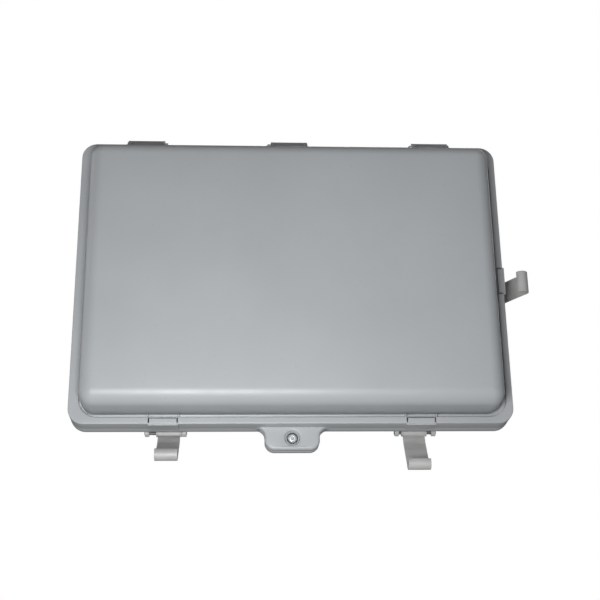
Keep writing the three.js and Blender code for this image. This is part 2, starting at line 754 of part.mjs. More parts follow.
// An uncut strip grommet with a row of small nipples, one for each drop cable.
function dropGrommet() {
  const wallOut = 0.8;
  const wallIn = -WALL - 0.8;
  const nippleRadius = 3.4;
  const nipples = 8;
  const pitch = 9.6;
  const rounded = (grow, radius) => roundedRect(
    -DROP_HALF_Y - grow, -DROP_HALF_Z - grow, DROP_HALF_Y + grow, DROP_HALF_Z + grow, radius,
  );
  const pieces = [
    bar(rounded(-GAP, DROP_HALF_Y - GAP), wallIn - 1, wallOut + 1),
    bar(rounded(3, 9), wallOut, wallOut + 2.4),
    bar(rounded(3, 9), wallIn - 2, wallIn),
  ];
  for (let i = 0; i < nipples; i++) {
    pieces.push(turned("X", [wallOut + 2, 0, (i - (nipples - 1) / 2) * pitch], [
      [0, 0],
      [nippleRadius, 0],
      [nippleRadius - 0.8, 4],
      [0, 4.4],
    ], 8));
  }
  return join(pieces);
}

function sealsAndPins() {
  const rubber = finish(BLACK_RUBBER, 0.85);
  const parts = [
    mesh("door_gasket", doorGasket(), rubber.clone()),
    hingePin("hinge_pin_left", HINGE_X[0], 1),
    hingePin("hinge_pin_middle", HINGE_X[1], -1),
    hingePin("hinge_pin_right", HINGE_X[2], -1),
  ];
  corners(WALL_HOLE_X, WALL_HOLE_Z).forEach(([x, z], i) => {
    const plug = mesh(`wall_plug_${i + 1}`, wallPlug(), rubber.clone());
    plug.position.set(x, 0, z);
    parts.push(plug);
  });
  const wallX = CASING_HALF_X - CASING_DRAFT * (CABLE_Y - BASE_FRONT_Y);
  const outward = (part, z) => {
    part.position.set(-wallX, CABLE_Y, z);
    part.rotation.z = Math.PI;
    return part;
  };
  parts.push(
    outward(mesh("feeder_grommet_lower", feederGrommet(), rubber.clone()), -FEEDER_Z),
    outward(mesh("feeder_grommet_upper", feederGrommet(), rubber.clone()), FEEDER_Z),
    outward(mesh("drop_grommet_strip", dropGrommet(), rubber.clone()), 0),
  );
  return parts;
}

// ---------------------------------------------------------------- mounting plate and screws

const PANEL_SCREW_Z = 80;
const CLAMP_X = -150;
const CLAMP_SCREW_OFFSET = 17;
const POST_X = -130;
const POST_Z = 55;

// A pan-head screw driven in along +Y; the head's underside is at y = 0.
function screw(length) {
  const headRadius = 4;
  const head = turned("Y", [0, 0, 0], [
    [0, -2.6],
    [2.4, -2.6],
    [headRadius - 0.4, -1.8],
    [headRadius, -0.8],
    [headRadius, 0],
    [SCREW_RADIUS, 0],
    [SCREW_RADIUS, length],
    [0, length],
  ], 12);
  const slot = box(-0.5, 0.5, -4, -1.5, -3, 3);
  const crossSlot = box(-3, 3, -4, -1.5, -0.5, 0.5);
  return cut(head, [slot, crossSlot]);
}

function placedScrew(name, x, y, z, length) {
  const part = mesh(name, screw(length), finish(BRIGHT_STEEL, 0.35, 0.85));
  part.position.set(x, y, z);
  return part;
}

function mountingPlate() {
  const outline = roundedRect(
    -PLATE_HALF_WIDTH, -PLATE_HALF_HEIGHT, PLATE_HALF_WIDTH, PLATE_HALF_HEIGHT, 6,
  );
  const holes = [
    ...corners(BOSS_X, BOSS_Z),
    [PANEL_X + 12, -PANEL_SCREW_Z],
    [PANEL_X + 12, PANEL_SCREW_Z],
    [CLAMP_X, -FEEDER_Z + CLAMP_SCREW_OFFSET],
    [CLAMP_X, FEEDER_Z - CLAMP_SCREW_OFFSET],
    [POST_X, POST_Z],
  ];
  const drills = holes.map(([x, z]) => rod("Y", [x, -20, z], SCREW_HOLE, 20, 12));
  const stud = rod("Y", [CLAMP_X, -20, 0], 3 + GAP, 20, 12);
  return cut(slab(outline, PLATE_BACK_Y, PLATE_FRONT_Y), [...drills, stud]);
}

function plateParts() {
  const parts = [mesh("mounting_plate", mountingPlate(), finish(BRIGHT_STEEL, 0.4, 0.8))];
  corners(BOSS_X, BOSS_Z).forEach(([x, z], i) =>
    parts.push(placedScrew(`plate_screw_${i + 1}`, x, PLATE_FRONT_Y - GAP, z, 8)));
  return parts;
}

// ---------------------------------------------------------------- splice tray

const TRAY_KNUCKLE_Z = 55;
const TRAY_KNUCKLE = 12;

function spliceTray() {
  const floor = 2;
  const wall = 2;
  const outline = (inset) => roundedRect(
    TRAY_LEFT + inset, -TRAY_HALF_HEIGHT + inset,
    TRAY_RIGHT - inset, TRAY_HALF_HEIGHT - inset, 12 - inset,
  );
  const pan = slab(outline(0), TRAY_BACK_Y, TRAY_FRONT_Y)
    .subtract(slab(outline(wall), TRAY_BACK_Y - floor, TRAY_FRONT_Y - 5));
  const middleX = (TRAY_LEFT + TRAY_RIGHT) / 2;
  const loops = [-50, 50].map((z) => {
    const height = TRAY_BACK_Y - TRAY_FRONT_Y - 2;
    const outer = rod("Y", [middleX, TRAY_FRONT_Y + 1, z], 24, height, 20);
    return outer.subtract(rod("Y", [middleX, TRAY_FRONT_Y - 2, z], 22.4, height + 1, 20));
  });
  const knuckles = [-TRAY_KNUCKLE_Z, TRAY_KNUCKLE_Z].map((z) => join([
    rod("Z", [TRAY_AXIS_X, TRAY_AXIS_Y, z - TRAY_KNUCKLE / 2], 4, TRAY_KNUCKLE),
    box(TRAY_RIGHT - 1, TRAY_AXIS_X, TRAY_AXIS_Y - 2, TRAY_AXIS_Y + 4,
      z - TRAY_KNUCKLE / 2, z + TRAY_KNUCKLE / 2),
  ]));
  const pinBore = rod("Z", [TRAY_AXIS_X, TRAY_AXIS_Y, -100], PIN_HOLE, 200);
  const notches = [-70, 70].map((z) =>
    box(TRAY_LEFT - 5, TRAY_LEFT + 5, TRAY_FRONT_Y - 5, TRAY_BACK_Y - floor, z - 5, z + 5));
  return cut(join([pan, ...loops, ...knuckles]), [pinBore, ...notches]);
}

function trayCover() {
  const frontY = TRAY_FRONT_Y - GAP;
  const outline = roundedRect(
    TRAY_LEFT, -TRAY_HALF_HEIGHT, TRAY_RIGHT, TRAY_HALF_HEIGHT, 12,
  );
  const plate = slab(outline, frontY, frontY - 1.6);
  const finger = rod("Y", [TRAY_LEFT, frontY - 5, 0], 9, 10, 24);
  return plate.subtract(finger);
}

// A comb that holds the fusion-splice sleeves side by side.
function spliceHolder() {
  const middleX = (TRAY_LEFT + TRAY_RIGHT) / 2;
  const slots = 10;
  const pitch = 4.4;
  const backY = TRAY_BACK_Y - 2 - GAP;
  const half = (slots * pitch) / 2 + 1;
  const block = box(middleX - half, middleX + half, backY - 7, backY, -16, 16);
  const grooves = Array.from({ length: slots }, (_, i) => {
    const x = middleX + (i - (slots - 1) / 2) * pitch;
    return box(x - 1.4, x + 1.4, backY - 8, backY - 1.5, -20, 20);
  });
  return cut(block, grooves);
}

function trayBracket() {
  const earZ = TRAY_KNUCKLE_Z + TRAY_KNUCKLE / 2 + GAP;
  const footBack = PLATE_FRONT_Y - GAP;
  const foot = box(TRAY_AXIS_X - 5, TRAY_AXIS_X + 12, footBack - 1.5, footBack, -earZ - 2, earZ + 2);
  const ears = [-earZ - 2, earZ].map((z) =>
    box(TRAY_AXIS_X - 3.5, TRAY_AXIS_X + 5, TRAY_AXIS_Y - 3.5, footBack, z, z + 2));
  const bore = rod("Z", [TRAY_AXIS_X, TRAY_AXIS_Y, -100], PIN_HOLE, 200);
  return cut(join([foot, ...ears]), [bore]);
}

function trayParts() {
  const pinHalf = TRAY_KNUCKLE_Z + TRAY_KNUCKLE / 2 + 5;
  const pin = rod("Z", [TRAY_AXIS_X, TRAY_AXIS_Y, -pinHalf], PIN_RADIUS, 2 * pinHalf, 16);
  const footBack = PLATE_FRONT_Y - GAP;
  const restTop = TRAY_BACK_Y + GAP - footBack;
  const rest = turned("Y", [TRAY_LEFT + 10, footBack, 0], [
    [0, restTop],
    [4, restTop],
    [5, restTop + 1],
    [6.5, 0],
    [0, 0],
  ], 18);
  return [
    mesh("splice_tray", spliceTray(), finish(TRAY_WHITE, 0.5)),
    mesh("splice_tray_cover", trayCover(), finish(CLEAR_SMOKE, 0.15)),
    mesh("splice_holder", spliceHolder(), finish(BLACK_RUBBER, 0.6)),
    mesh("tray_hinge_pin", pin, finish(BRIGHT_STEEL, 0.3, 0.9)),
    mesh("tray_bracket", trayBracket(), finish(BRIGHT_STEEL, 0.4, 0.8)),
    mesh("tray_rest", rest, finish(BLACK_RUBBER, 0.8)),
  ];
}

// ---------------------------------------------------------------- adapter panel

const adapterZ = (i) => (i - (ADAPTER_COUNT - 1) / 2) * ADAPTER_PITCH;
const ADAPTER_HALF_Z = 4.6;
const ADAPTER_HALF_Y = 6.4;

function adapterPanel() {
  const footBack = PLATE_FRONT_Y - GAP;
  const half = 90;
  const upright = box(PANEL_X, PANEL_X + 1.5, -60, footBack, -half, half);
  const foot = box(PANEL_X, PANEL_X + 22, footBack - 1.5, footBack, -half, half);
  const windows = Array.from({ length: ADAPTER_COUNT }, (_, i) => box(
    PANEL_X - 5, PANEL_X + 5,
    ADAPTER_Y - ADAPTER_HALF_Y - GAP, ADAPTER_Y + ADAPTER_HALF_Y + GAP,
    adapterZ(i) - ADAPTER_HALF_Z - GAP, adapterZ(i) + ADAPTER_HALF_Z + GAP,
  ));
  const drills = [-PANEL_SCREW_Z, PANEL_SCREW_Z].map((z) =>
    rod("Y", [PANEL_X + 12, -30, z], SCREW_HOLE, 30, 12));
  return cut(join([upright, foot]), [...windows, ...drills]);
}

// A square push-fit coupler about its own centre, with a flange that bears on the panel.
function adapterSolid() {
  const half = 13.5;
  const body = box(-half, half, -ADAPTER_HALF_Y, ADAPTER_HALF_Y, -ADAPTER_HALF_Z, ADAPTER_HALF_Z);
  const flange = box(1.8, 4, -10, 10, -ADAPTER_HALF_Z, ADAPTER_HALF_Z);
  const bores = [[-half - 1, -3], [3, half + 1]].map(([from, to]) =>
    box(from, to, -ADAPTER_HALF_Y + 1.2, ADAPTER_HALF_Y - 1.2, -3.4, 3.4));
  return cut(join([body, flange]), bores);
}

function dustCap() {
  const plug = box(4, 15, -4.8, 4.8, -3, 3);
  const grip = box(13.9, 20, -5.6, 5.6, -3.9, 3.9);
  return join([plug, grip]);
}

function adapterParts() {
  const parts = [mesh("adapter_panel", adapterPanel(), finish(BRIGHT_STEEL, 0.4, 0.8))];
  [-PANEL_SCREW_Z, PANEL_SCREW_Z].forEach((z, i) => parts.push(placedScrew(
    `panel_screw_${i + 1}`, PANEL_X + 12, PLATE_FRONT_Y - 2 * GAP - 1.5, z, 5)));
  for (let i = 0; i < ADAPTER_COUNT; i++) {
    const adapter = mesh(`fiber_adapter_${i + 1}`, adapterSolid(), finish(ADAPTER_BLUE, 0.45));
    const cap = mesh(`dust_cap_${i + 1}`, dustCap(), finish(CAP_WHITE, 0.6));
    for (const part of [adapter, cap]) part.position.set(PANEL_X, ADAPTER_Y, adapterZ(i));
    parts.push(adapter, cap);
  }
  return parts;
}

// ---------------------------------------------------------------- cable fixing, earth and slack storage

// A P-shaped clip: a loop about the cable's axis and one screwed foot, drawn about the loop.
function cableClamp(side) {
  const footTop = PLATE_FRONT_Y - GAP - CABLE_Y;
  const loopOuter = footTop;
  const half = 7;
  const loop = rod("X", [-half, 0, 0], loopOuter, 2 * half, 20);
  const footEnd = -side * (CLAMP_SCREW_OFFSET + 6);
  const foot = box(-half, half, footTop - 2, footTop, Math.min(0, footEnd), Math.max(0, footEnd));
  const cable = rod("X", [-half - 1, 0, 0], loopOuter - 2, 2 * half + 2, 20);
  const drill = rod("Y", [0, 0, -side * CLAMP_SCREW_OFFSET], SCREW_HOLE, 30, 12);
  return cut(join([loop, foot]), [cable, drill]);
}

function strengthPost() {
  const height = 14;
  const block = rod("Y", [0, -height, 0], 5, height, 20);
  const wire = rod("X", [-10, -height + 4.5, 0], 1.6, 20, 12);
  const thread = rod("Y", [0, -height - 1, 0], SCREW_HOLE, height + 2, 16);
  return cut(block, [wire, thread]);
}

function slackSpool() {
  return turned("Y", [0, 0, 0], [
    [18, 0],
    [24, 0],
    [24, -1.6],
    [20, -1.8],
    [20, -12.4],
    [24, -12.6],
    [24, -14],
    [18, -14],
    [18, 0],
  ].reverse(), 20);
}

function hexNut() {
  const nut = rod("Y", [0, 0, 0], 5.6, 4, 6);
  return cut(nut, [rod("Y", [0, -1, 0], 3 + GAP, 6, 18)]);
}

function fixingParts() {
  const footY = PLATE_FRONT_Y - GAP;
  const parts = [];
  for (const [name, side] of [["lower", -1], ["upper", 1]]) {
    const clamp = mesh(`cable_clamp_${name}`, cableClamp(side), finish(BRIGHT_STEEL, 0.4, 0.8));
    clamp.position.set(CLAMP_X, CABLE_Y, side * FEEDER_Z);
    const screwZ = side * (FEEDER_Z - CLAMP_SCREW_OFFSET);
    parts.push(clamp, placedScrew(`cable_clamp_screw_${name}`, CLAMP_X, footY - 2 - GAP, screwZ, 5));
  }
  const post = mesh("strength_member_post", strengthPost(), finish(BRASS, 0.35, 0.9));
  post.position.set(POST_X, footY, POST_Z);
  parts.push(post, placedScrew("strength_member_screw", POST_X, footY - 14 - GAP, POST_Z, 9));
  const stud = turned("Y", [CLAMP_X, 0, 0], [
    [0, -34],
    [2.4, -34],
    [3, -33.2],
    [3, PLATE_BACK_Y + GAP + 1],
    [0, PLATE_BACK_Y + GAP + 1],
  ], 18);
  const nut = mesh("ground_nut", hexNut(), finish(BRASS, 0.35, 0.9));
  nut.position.set(CLAMP_X, footY - 4, 0);
  parts.push(mesh("ground_stud", stud, finish(BRASS, 0.35, 0.9)), nut);
  for (const [name, z] of [["lower", -58], ["upper", 58]]) {
    const spool = mesh(`slack_spool_${name}`, slackSpool(), finish(TRAY_WHITE, 0.5));
    spool.position.set(49, footY, z);
    parts.push(spool);
  }
  return parts;
}

// ---------------------------------------------------------------- assembly

const box_assembly = new THREE.Group();
box_assembly.add(
  mesh("base_shell", baseShell(), finish(GREY_SHELL, 0.5)),
  mesh("door_shell", doorShell(), finish(GREY_SHELL, 0.5)),
  ...latches(),
  ...lockParts(),
  ...sealsAndPins(),
  ...plateParts(),
  ...trayParts(),
  ...adapterParts(),
  ...fixingParts(),
);

export default box_assembly;
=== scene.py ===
"""Looks for the fiber termination box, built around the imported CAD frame.

Metres, in the CAD frame: +X right, +Z up, the door faces -Y and the wall is at Y = 0.
"Depth" is the distance behind the front face of the door's flange.
"""

import json
from math import cos, hypot, pi, radians, sin

import bmesh
import bpy
from mathutils import Matrix, Vector


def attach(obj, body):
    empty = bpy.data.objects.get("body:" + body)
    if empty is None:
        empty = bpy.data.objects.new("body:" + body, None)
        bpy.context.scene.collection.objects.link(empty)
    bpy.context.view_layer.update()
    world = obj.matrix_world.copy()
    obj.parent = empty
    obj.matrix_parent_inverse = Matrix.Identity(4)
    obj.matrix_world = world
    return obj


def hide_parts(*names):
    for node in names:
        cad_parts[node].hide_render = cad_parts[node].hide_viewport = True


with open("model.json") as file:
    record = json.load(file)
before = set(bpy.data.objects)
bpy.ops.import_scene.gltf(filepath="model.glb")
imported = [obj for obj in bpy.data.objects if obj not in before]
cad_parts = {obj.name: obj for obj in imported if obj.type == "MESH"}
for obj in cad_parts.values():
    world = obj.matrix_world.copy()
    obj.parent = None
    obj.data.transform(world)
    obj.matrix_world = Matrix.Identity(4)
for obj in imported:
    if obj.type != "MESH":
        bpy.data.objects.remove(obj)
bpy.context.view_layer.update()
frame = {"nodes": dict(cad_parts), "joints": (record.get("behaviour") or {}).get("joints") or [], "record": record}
JOINTS = {joint["name"]: joint for joint in frame["joints"]}

# ---------------------------------------------------------------- sizes, in metres

MM = 0.001
WALL = 3 * MM
GAP = 0.3 * MM

FLANGE_Y = -94 * MM
DOOR_HALF_X = 225 * MM
DOOR_HALF_Z = 155.5 * MM
DOOR_CORNER = 16 * MM
SKIRT_DEPTH = 18.85 * MM
SKIRT_FLARE = 0.75 * MM
SKIRT_EDGE = 1.5 * MM

DOME_INSET = 11.8 * MM
DOME_CORNER = 14 * MM
DOME_RISE = 36 * MM
DOME_SHOULDER = 15 * MM
DOME_DRAFT = 0.05
DOME_CROWN = 0.4 * MM

RIDGE_WIDTH = 6.5 * MM
GROOVE_DEPTH = 5 * MM
GROOVE_CORNER = 19 * MM
CREASE_WIDTH = 1.7 * MM  # the sharp line round the dome's foot
CREASE_DEPTH = 4 * MM
SEAL_DEPTH = 8 * MM
SEAL_RIB_INSET = 9.5 * MM
SEAL_RIB_DEPTH = 14 * MM

BASE_HALF_X = 226 * MM
BASE_HALF_Z = 156.5 * MM
BASE_FRONT_DEPTH = 19.15 * MM
BASE_FLANGE_DEPTH = 33 * MM
BASE_PLATE = 3.5 * MM
CASING_INSET = 12 * MM
CASING_CORNER = 12 * MM
CASING_DRAFT = 0.02
BACK_ROUND = 2.5 * MM
TONGUE_INSET = 6 * MM
TONGUE_WIDTH = 2.5 * MM
TONGUE_FRONT_DEPTH = 13.3 * MM
SHADOW_GROOVE = 2.4 * MM  # the step in the base's rim that the parting line sits in
RIM_SLOPE_START = BASE_FRONT_DEPTH + 2.8 * MM
RIM_SLOPE_END = BASE_FRONT_DEPTH + 8 * MM

HINGE_PLACES = {"left": -158 * MM, "middle": 0, "right": 158 * MM}

CORNER_STEPS = 14
ROUND_STEPS = 4
CIRCLE_STEPS = 40
MERGE_DISTANCE = 1e-6
SMALLEST_EDGE = 1e-7
SHARP_ANGLE = radians(38)  # an edge that folds more than this is drawn sharp


def at_depth(depth):
    """Y of a point that lies this far behind the flange's front face."""
    return FLANGE_Y + depth


# ---------------------------------------------------------------- camera, lights and floor

# The camera is turned by its yaw to the right, its pitch upward and its roll clockwise.
CAMERA_PLACE = Vector((-0.0483, FLANGE_Y - 1.0803, -0.4081))
CAMERA_YAW = radians(3.03)
CAMERA_PITCH = radians(19.55)
CAMERA_ROLL = radians(0.81)
CAMERA_LENS = 66
CAMERA_SENSOR = 36
FLOOR_Z = -1.3
FLOOR_HALF = 6
BACKDROP = (1.0, 1.0, 1.0, 1.0)
SURROUND_TINT = (0.96, 0.97, 1.0, 1.0)
SURROUND_STRENGTH = 0.17
KEY_TINT = (0.965, 0.985, 1.0)


def camera():
    """The camera stands low in front of the box and looks up at it."""
    level = cos(CAMERA_PITCH)
    forward = Vector((sin(CAMERA_YAW) * level, cos(CAMERA_YAW) * level, sin(CAMERA_PITCH)))
    level_right = Vector((cos(CAMERA_YAW), -sin(CAMERA_YAW), 0))
    level_down = forward.cross(level_right)
    right = level_right * cos(CAMERA_ROLL) + level_down * sin(CAMERA_ROLL)
    down = level_down * cos(CAMERA_ROLL) - level_right * sin(CAMERA_ROLL)
    data = bpy.data.cameras.new("camera")
    data.lens = CAMERA_LENS
    data.sensor_width = CAMERA_SENSOR
    eye = bpy.data.objects.new("camera", data)
    bpy.context.scene.collection.objects.link(eye)
    axes = Matrix((right, -down, -forward)).transposed()
    eye.matrix_world = Matrix.Translation(CAMERA_PLACE) @ axes.to_4x4()
    bpy.context.scene.camera = eye


def area_light(name, place, aim, size, watts, tint=(1, 1, 1)):
    """A soft square light at place, turned towards aim."""
    data = bpy.data.lights.new(name, "AREA")
    data.shape = "SQUARE"
    data.size = size
    data.energy = watts
    data.color = tint
    lamp = bpy.data.objects.new(name, data)
    bpy.context.scene.collection.objects.link(lamp)
    lamp.location = place
    lamp.rotation_euler = (Vector(aim) - Vector(place)).to_track_quat("-Z", "Y").to_euler()


def studio():
    """Pale surroundings, a low soft key in front, and weak fills from the other sides."""
    world = bpy.data.worlds.new("studio")
    bpy.context.scene.world = world
    world.use_nodes = True
    tree = world.node_tree
    tree.nodes.clear()
    output = tree.nodes.new("ShaderNodeOutputWorld")
    mix = tree.nodes.new("ShaderNodeMixShader")
    path = tree.nodes.new("ShaderNodeLightPath")
    soft = tree.nodes.new("ShaderNodeBackground")
    soft.inputs["Color"].default_value = SURROUND_TINT
    soft.inputs["Strength"].default_value = SURROUND_STRENGTH
    clear = tree.nodes.new("ShaderNodeBackground")
    clear.inputs["Color"].default_value = BACKDROP
    clear.inputs["Strength"].default_value = 1.0
    tree.links.new(path.outputs["Is Camera Ray"], mix.inputs["Fac"])
    tree.links.new(soft.outputs[0], mix.inputs[1])
    tree.links.new(clear.outputs[0], mix.inputs[2])
    tree.links.new(mix.outputs[0], output.inputs["Surface"])
    door_middle = (0, FLANGE_Y, 0)
    wall_middle = (0, 0, 0)
    below_middle = (-0.02, FLANGE_Y, -0.05)
    area_light("key_light", (-0.12, -0.74, -0.36), below_middle, size=0.28, watts=5, tint=KEY_TINT)
    area_light("upper_fill", (0.5, -1.0, 0.9), door_middle, size=0.9, watts=1.8)
    area_light("back_fill", (0.5, 1.3, 0.7), wall_middle, size=1.2, watts=14)
    area_light("left_fill", (-1.3, 0.3, 0.5), wall_middle, size=1.0, watts=3)


def brighten_for_camera(material, colour, share):
    """Mixes plain light into what the camera sees of a surface, and adds none to the scene."""
    tree = material.node_tree
    output = tree.nodes["Material Output"]
    glow = tree.nodes.new("ShaderNodeEmission")
    glow.inputs["Color"].default_value = (*colour, 1)
    path = tree.nodes.new("ShaderNodeLightPath")
    amount = tree.nodes.new("ShaderNodeMath")
    amount.operation = "MULTIPLY"
    amount.inputs[1].default_value = share
    mix = tree.nodes.new("ShaderNodeMixShader")
    tree.links.new(path.outputs["Is Camera Ray"], amount.inputs[0])
    tree.links.new(amount.outputs[0], mix.inputs["Fac"])
    tree.links.new(output.inputs["Surface"].links[0].from_socket, mix.inputs[1])
    tree.links.new(glow.outputs[0], mix.inputs[2])
    tree.links.new(mix.outputs[0], output.inputs["Surface"])


def floor():
    """A plain pale floor well below the box."""
    bm = bmesh.new()
    bmesh.ops.create_grid(bm, x_segments=1, y_segments=1, size=FLOOR_HALF)
    mesh = bpy.data.meshes.new("floor")
    bm.to_mesh(mesh)
    bm.free()
    ground = bpy.data.objects.new("floor", mesh)
    ground.location.z = FLOOR_Z
    bpy.context.scene.collection.objects.link(ground)
    paint = moulded("floor_paint", (0.8, 0.8, 0.79), 0.7, mottle=0.02, grain=0.01)
    brighten_for_camera(paint, (0.85, 0.85, 0.85), 0.6)
    mesh.materials.append(paint)


# ---------------------------------------------------------------- materials


class Shader:
    """A principled material and short ways to wire noise into it."""

    def __init__(self, name):
        self.material = bpy.data.materials.new(name)
        self.material.use_nodes = True
        self.tree = self.material.node_tree
        self.principled = self.tree.nodes["Principled BSDF"]
        self.coordinates = self.tree.nodes.new("ShaderNodeTexCoord")

    def set(self, **values):
        """Sets sockets of the principled node, with spaces in their names as underscores."""
        for key, value in values.items():
            self.principled.inputs[key.replace("_", " ")].default_value = value

    def noise(self, scale, detail, stretch=(1, 1, 1)):
        """A noise value around 0.5; stretch scales the pattern along each axis."""
        mapping = self.tree.nodes.new("ShaderNodeMapping")
        mapping.inputs["Scale"].default_value = stretch
        texture = self.tree.nodes.new("ShaderNodeTexNoise")
        texture.inputs["Scale"].default_value = scale
        texture.inputs["Detail"].default_value = detail
        self.tree.links.new(self.coordinates.outputs["Object"], mapping.inputs["Vector"])
        self.tree.links.new(mapping.outputs["Vector"], texture.inputs["Vector"])
        return texture.outputs["Fac"]

    def spread(self, value, low, high, start=0.3, end=0.7):
        """The value with start..end carried to low..high."""
        node = self.tree.nodes.new("ShaderNodeMapRange")
        node.inputs["From Min"].default_value = start
        node.inputs["From Max"].default_value = end
        node.inputs["To Min"].default_value = low
        node.inputs["To Max"].default_value = high
        self.tree.links.new(value, node.inputs["Value"])
        return node.outputs["Result"]

    def blend(self, factor, first, second):
        """A colour between first and second; each is a colour or an output."""
        node = self.tree.nodes.new("ShaderNodeMix")
        node.data_type = "RGBA"
        self.tree.links.new(factor, node.inputs["Factor"])
        for socket, colour in (("A", first), ("B", second)):
            target = next(i for i in node.inputs if i.name == socket and i.type == "RGBA")
            if isinstance(colour, tuple):
                target.default_value = (*colour, 1)
            else:
                self.tree.links.new(colour, target)
        return next(o for o in node.outputs if o.type == "RGBA")

    def add(self, first, second):
        """The sum of two outputs."""
        node = self.tree.nodes.new("ShaderNodeMath")
        node.operation = "ADD"
        self.tree.links.new(first, node.inputs[0])
        self.tree.links.new(second, node.inputs[1])
        return node.outputs[0]

    def feed(self, socket, value):
        """Wires an output into a socket of the principled node."""
        self.tree.links.new(value, self.principled.inputs[socket])

    def bump(self, height, distance):
        """Raises the surface's shading by the height output, times the distance."""
        node = self.tree.nodes.new("ShaderNodeBump")
        node.inputs["Strength"].default_value = 1.0
        node.inputs["Distance"].default_value = distance
        self.tree.links.new(height, node.inputs["Height"])
        self.feed("Normal", node.outputs["Normal"])


def shade(colour, factor):
    """The colour made darker or lighter by a factor."""
    return tuple(min(1.0, channel * factor) for channel in colour)


def moulded(name, colour, roughness, mottle=0.06, grain=0.05):
    """Moulded plastic: cloudy tone, fine flow marks, a fine texture and tiny dust specks."""
    s = Shader(name)
    cloud = s.spread(s.noise(scale=9, detail=5), 0, 1)
    tone = s.blend(cloud, shade(colour, 1 - mottle), shade(colour, 1 + mottle))
    speck = s.spread(s.noise(scale=420, detail=2), 0, 1, start=0.70, end=0.74)
    tone = s.blend(speck, tone, shade(colour, 1 - 3 * mottle))
    s.feed("Base Color", tone)
    polish = s.noise(scale=30, detail=6)
    s.feed("Roughness", s.spread(polish, roughness - 0.06, roughness + 0.06))
    wave = s.spread(s.noise(scale=7, detail=2), 0, 6)
    fine = s.spread(s.noise(scale=1400, detail=3), 0, 1)
    s.bump(s.add(wave, fine), grain * MM)
    s.set(Specular_IOR_Level=0.5)
    return s.material


def worn_steel(name, colour, roughness, stretch=(0.05, 1, 1), tone=0.12, metallic=1.0):
    """Rolled or brushed steel: fine lines along one axis and a cloudy, slightly dull bloom."""
    s = Shader(name)
    lines = s.noise(scale=900, detail=3, stretch=stretch)
    cloud = s.noise(scale=60, detail=5)
    mixed = s.spread(s.add(lines, cloud), 0, 1, 0.7, 1.3)
    s.feed("Base Color", s.blend(mixed, shade(colour, 1 - tone), shade(colour, 1 + tone)))
    s.feed("Roughness", s.spread(cloud, roughness - 0.08, roughness + 0.10))
    s.bump(lines, 0.03 * MM)
    s.set(Metallic=metallic)
    return s.material


def rubber(name, colour):
    """Soft black rubber with a chalky bloom."""
    s = Shader(name)
    bloom = s.spread(s.noise(scale=110, detail=6), 0, 1)
    s.feed("Base Color", s.blend(bloom, colour, shade(colour, 2.2)))
    s.feed("Roughness", s.spread(s.noise(scale=260, detail=3), 0.62, 0.85))
    s.bump(s.noise(scale=1600, detail=3), 0.05 * MM)
    return s.material


def clear_plastic(name, colour):
    """Thin clear polycarbonate with faint wiping haze."""
    s = Shader(name)
    haze = s.noise(scale=22, detail=5, stretch=(1, 1, 4))
    s.feed("Base Color", s.blend(haze, shade(colour, 0.94), colour))
    s.feed("Roughness", s.spread(haze, 0.04, 0.16))
    s.set(Transmission_Weight=0.9, IOR=1.2)
    return s.material


# ---------------------------------------------------------------- mesh tools


def piece(name, bm, body, look, replaces=()):
    """Makes a bmesh into an object that rides on a body and has a look."""
    bmesh.ops.remove_doubles(bm, verts=bm.verts, dist=MERGE_DISTANCE)
    bmesh.ops.dissolve_degenerate(bm, edges=bm.edges, dist=SMALLEST_EDGE)
    bmesh.ops.recalc_face_normals(bm, faces=bm.faces)
    mesh = bpy.data.meshes.new(name)
    bm.to_mesh(mesh)
    bm.free()
    mesh.shade_smooth()
    mesh.set_sharp_from_angle(angle=SHARP_ANGLE)
    obj = bpy.data.objects.new(name, mesh)
    bpy.context.scene.collection.objects.link(obj)
    mesh.materials.append(LOOKS[look])
    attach(obj, body)
    if replaces:
        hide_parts(*replaces)
    return obj


def add_bevel(obj, width, segments=3, angle=35):
    """Rounds every edge that folds more than the angle, in degrees."""
    bevel = obj.modifiers.new("edges", "BEVEL")
    bevel.width = width
    bevel.segments = segments
    bevel.limit_method = "ANGLE"
    bevel.angle_limit = radians(angle)
    bevel.harden_normals = True


def ring(left, bottom, right, top, radius, y):
    """Points round a rounded rectangle in X and Z, all at the one y."""
    corner_centres = (
        (right - radius, bottom + radius, -90),
        (right - radius, top - radius, 0),
        (left + radius, top - radius, 90),
        (left + radius, bottom + radius, 180),
    )
    points = []
    for x, z, start in corner_centres:
        for step in range(CORNER_STEPS + 1):
            angle = radians(start + 90 * step / CORNER_STEPS)
            points.append(Vector((x + radius * cos(angle), y, z + radius * sin(angle))))
    return points


def door_ring(inset, depth, radius=None):
    """The door's outline, drawn in by the inset, at a depth."""
    if radius is None:
        radius = max(DOOR_CORNER - inset, 2 * MM)
    half_x = DOOR_HALF_X - inset
    half_z = DOOR_HALF_Z - inset
    return ring(-half_x, -half_z, half_x, half_z, radius, at_depth(depth))


def base_ring(inset, depth, radius=None):
    """The base's outline, drawn in by the inset, at a depth."""
    if radius is None:
        radius = max(DOOR_CORNER - inset, 2 * MM)
    half_x = BASE_HALF_X - inset
    half_z = BASE_HALF_Z - inset
    return ring(-half_x, -half_z, half_x, half_z, radius, at_depth(depth))


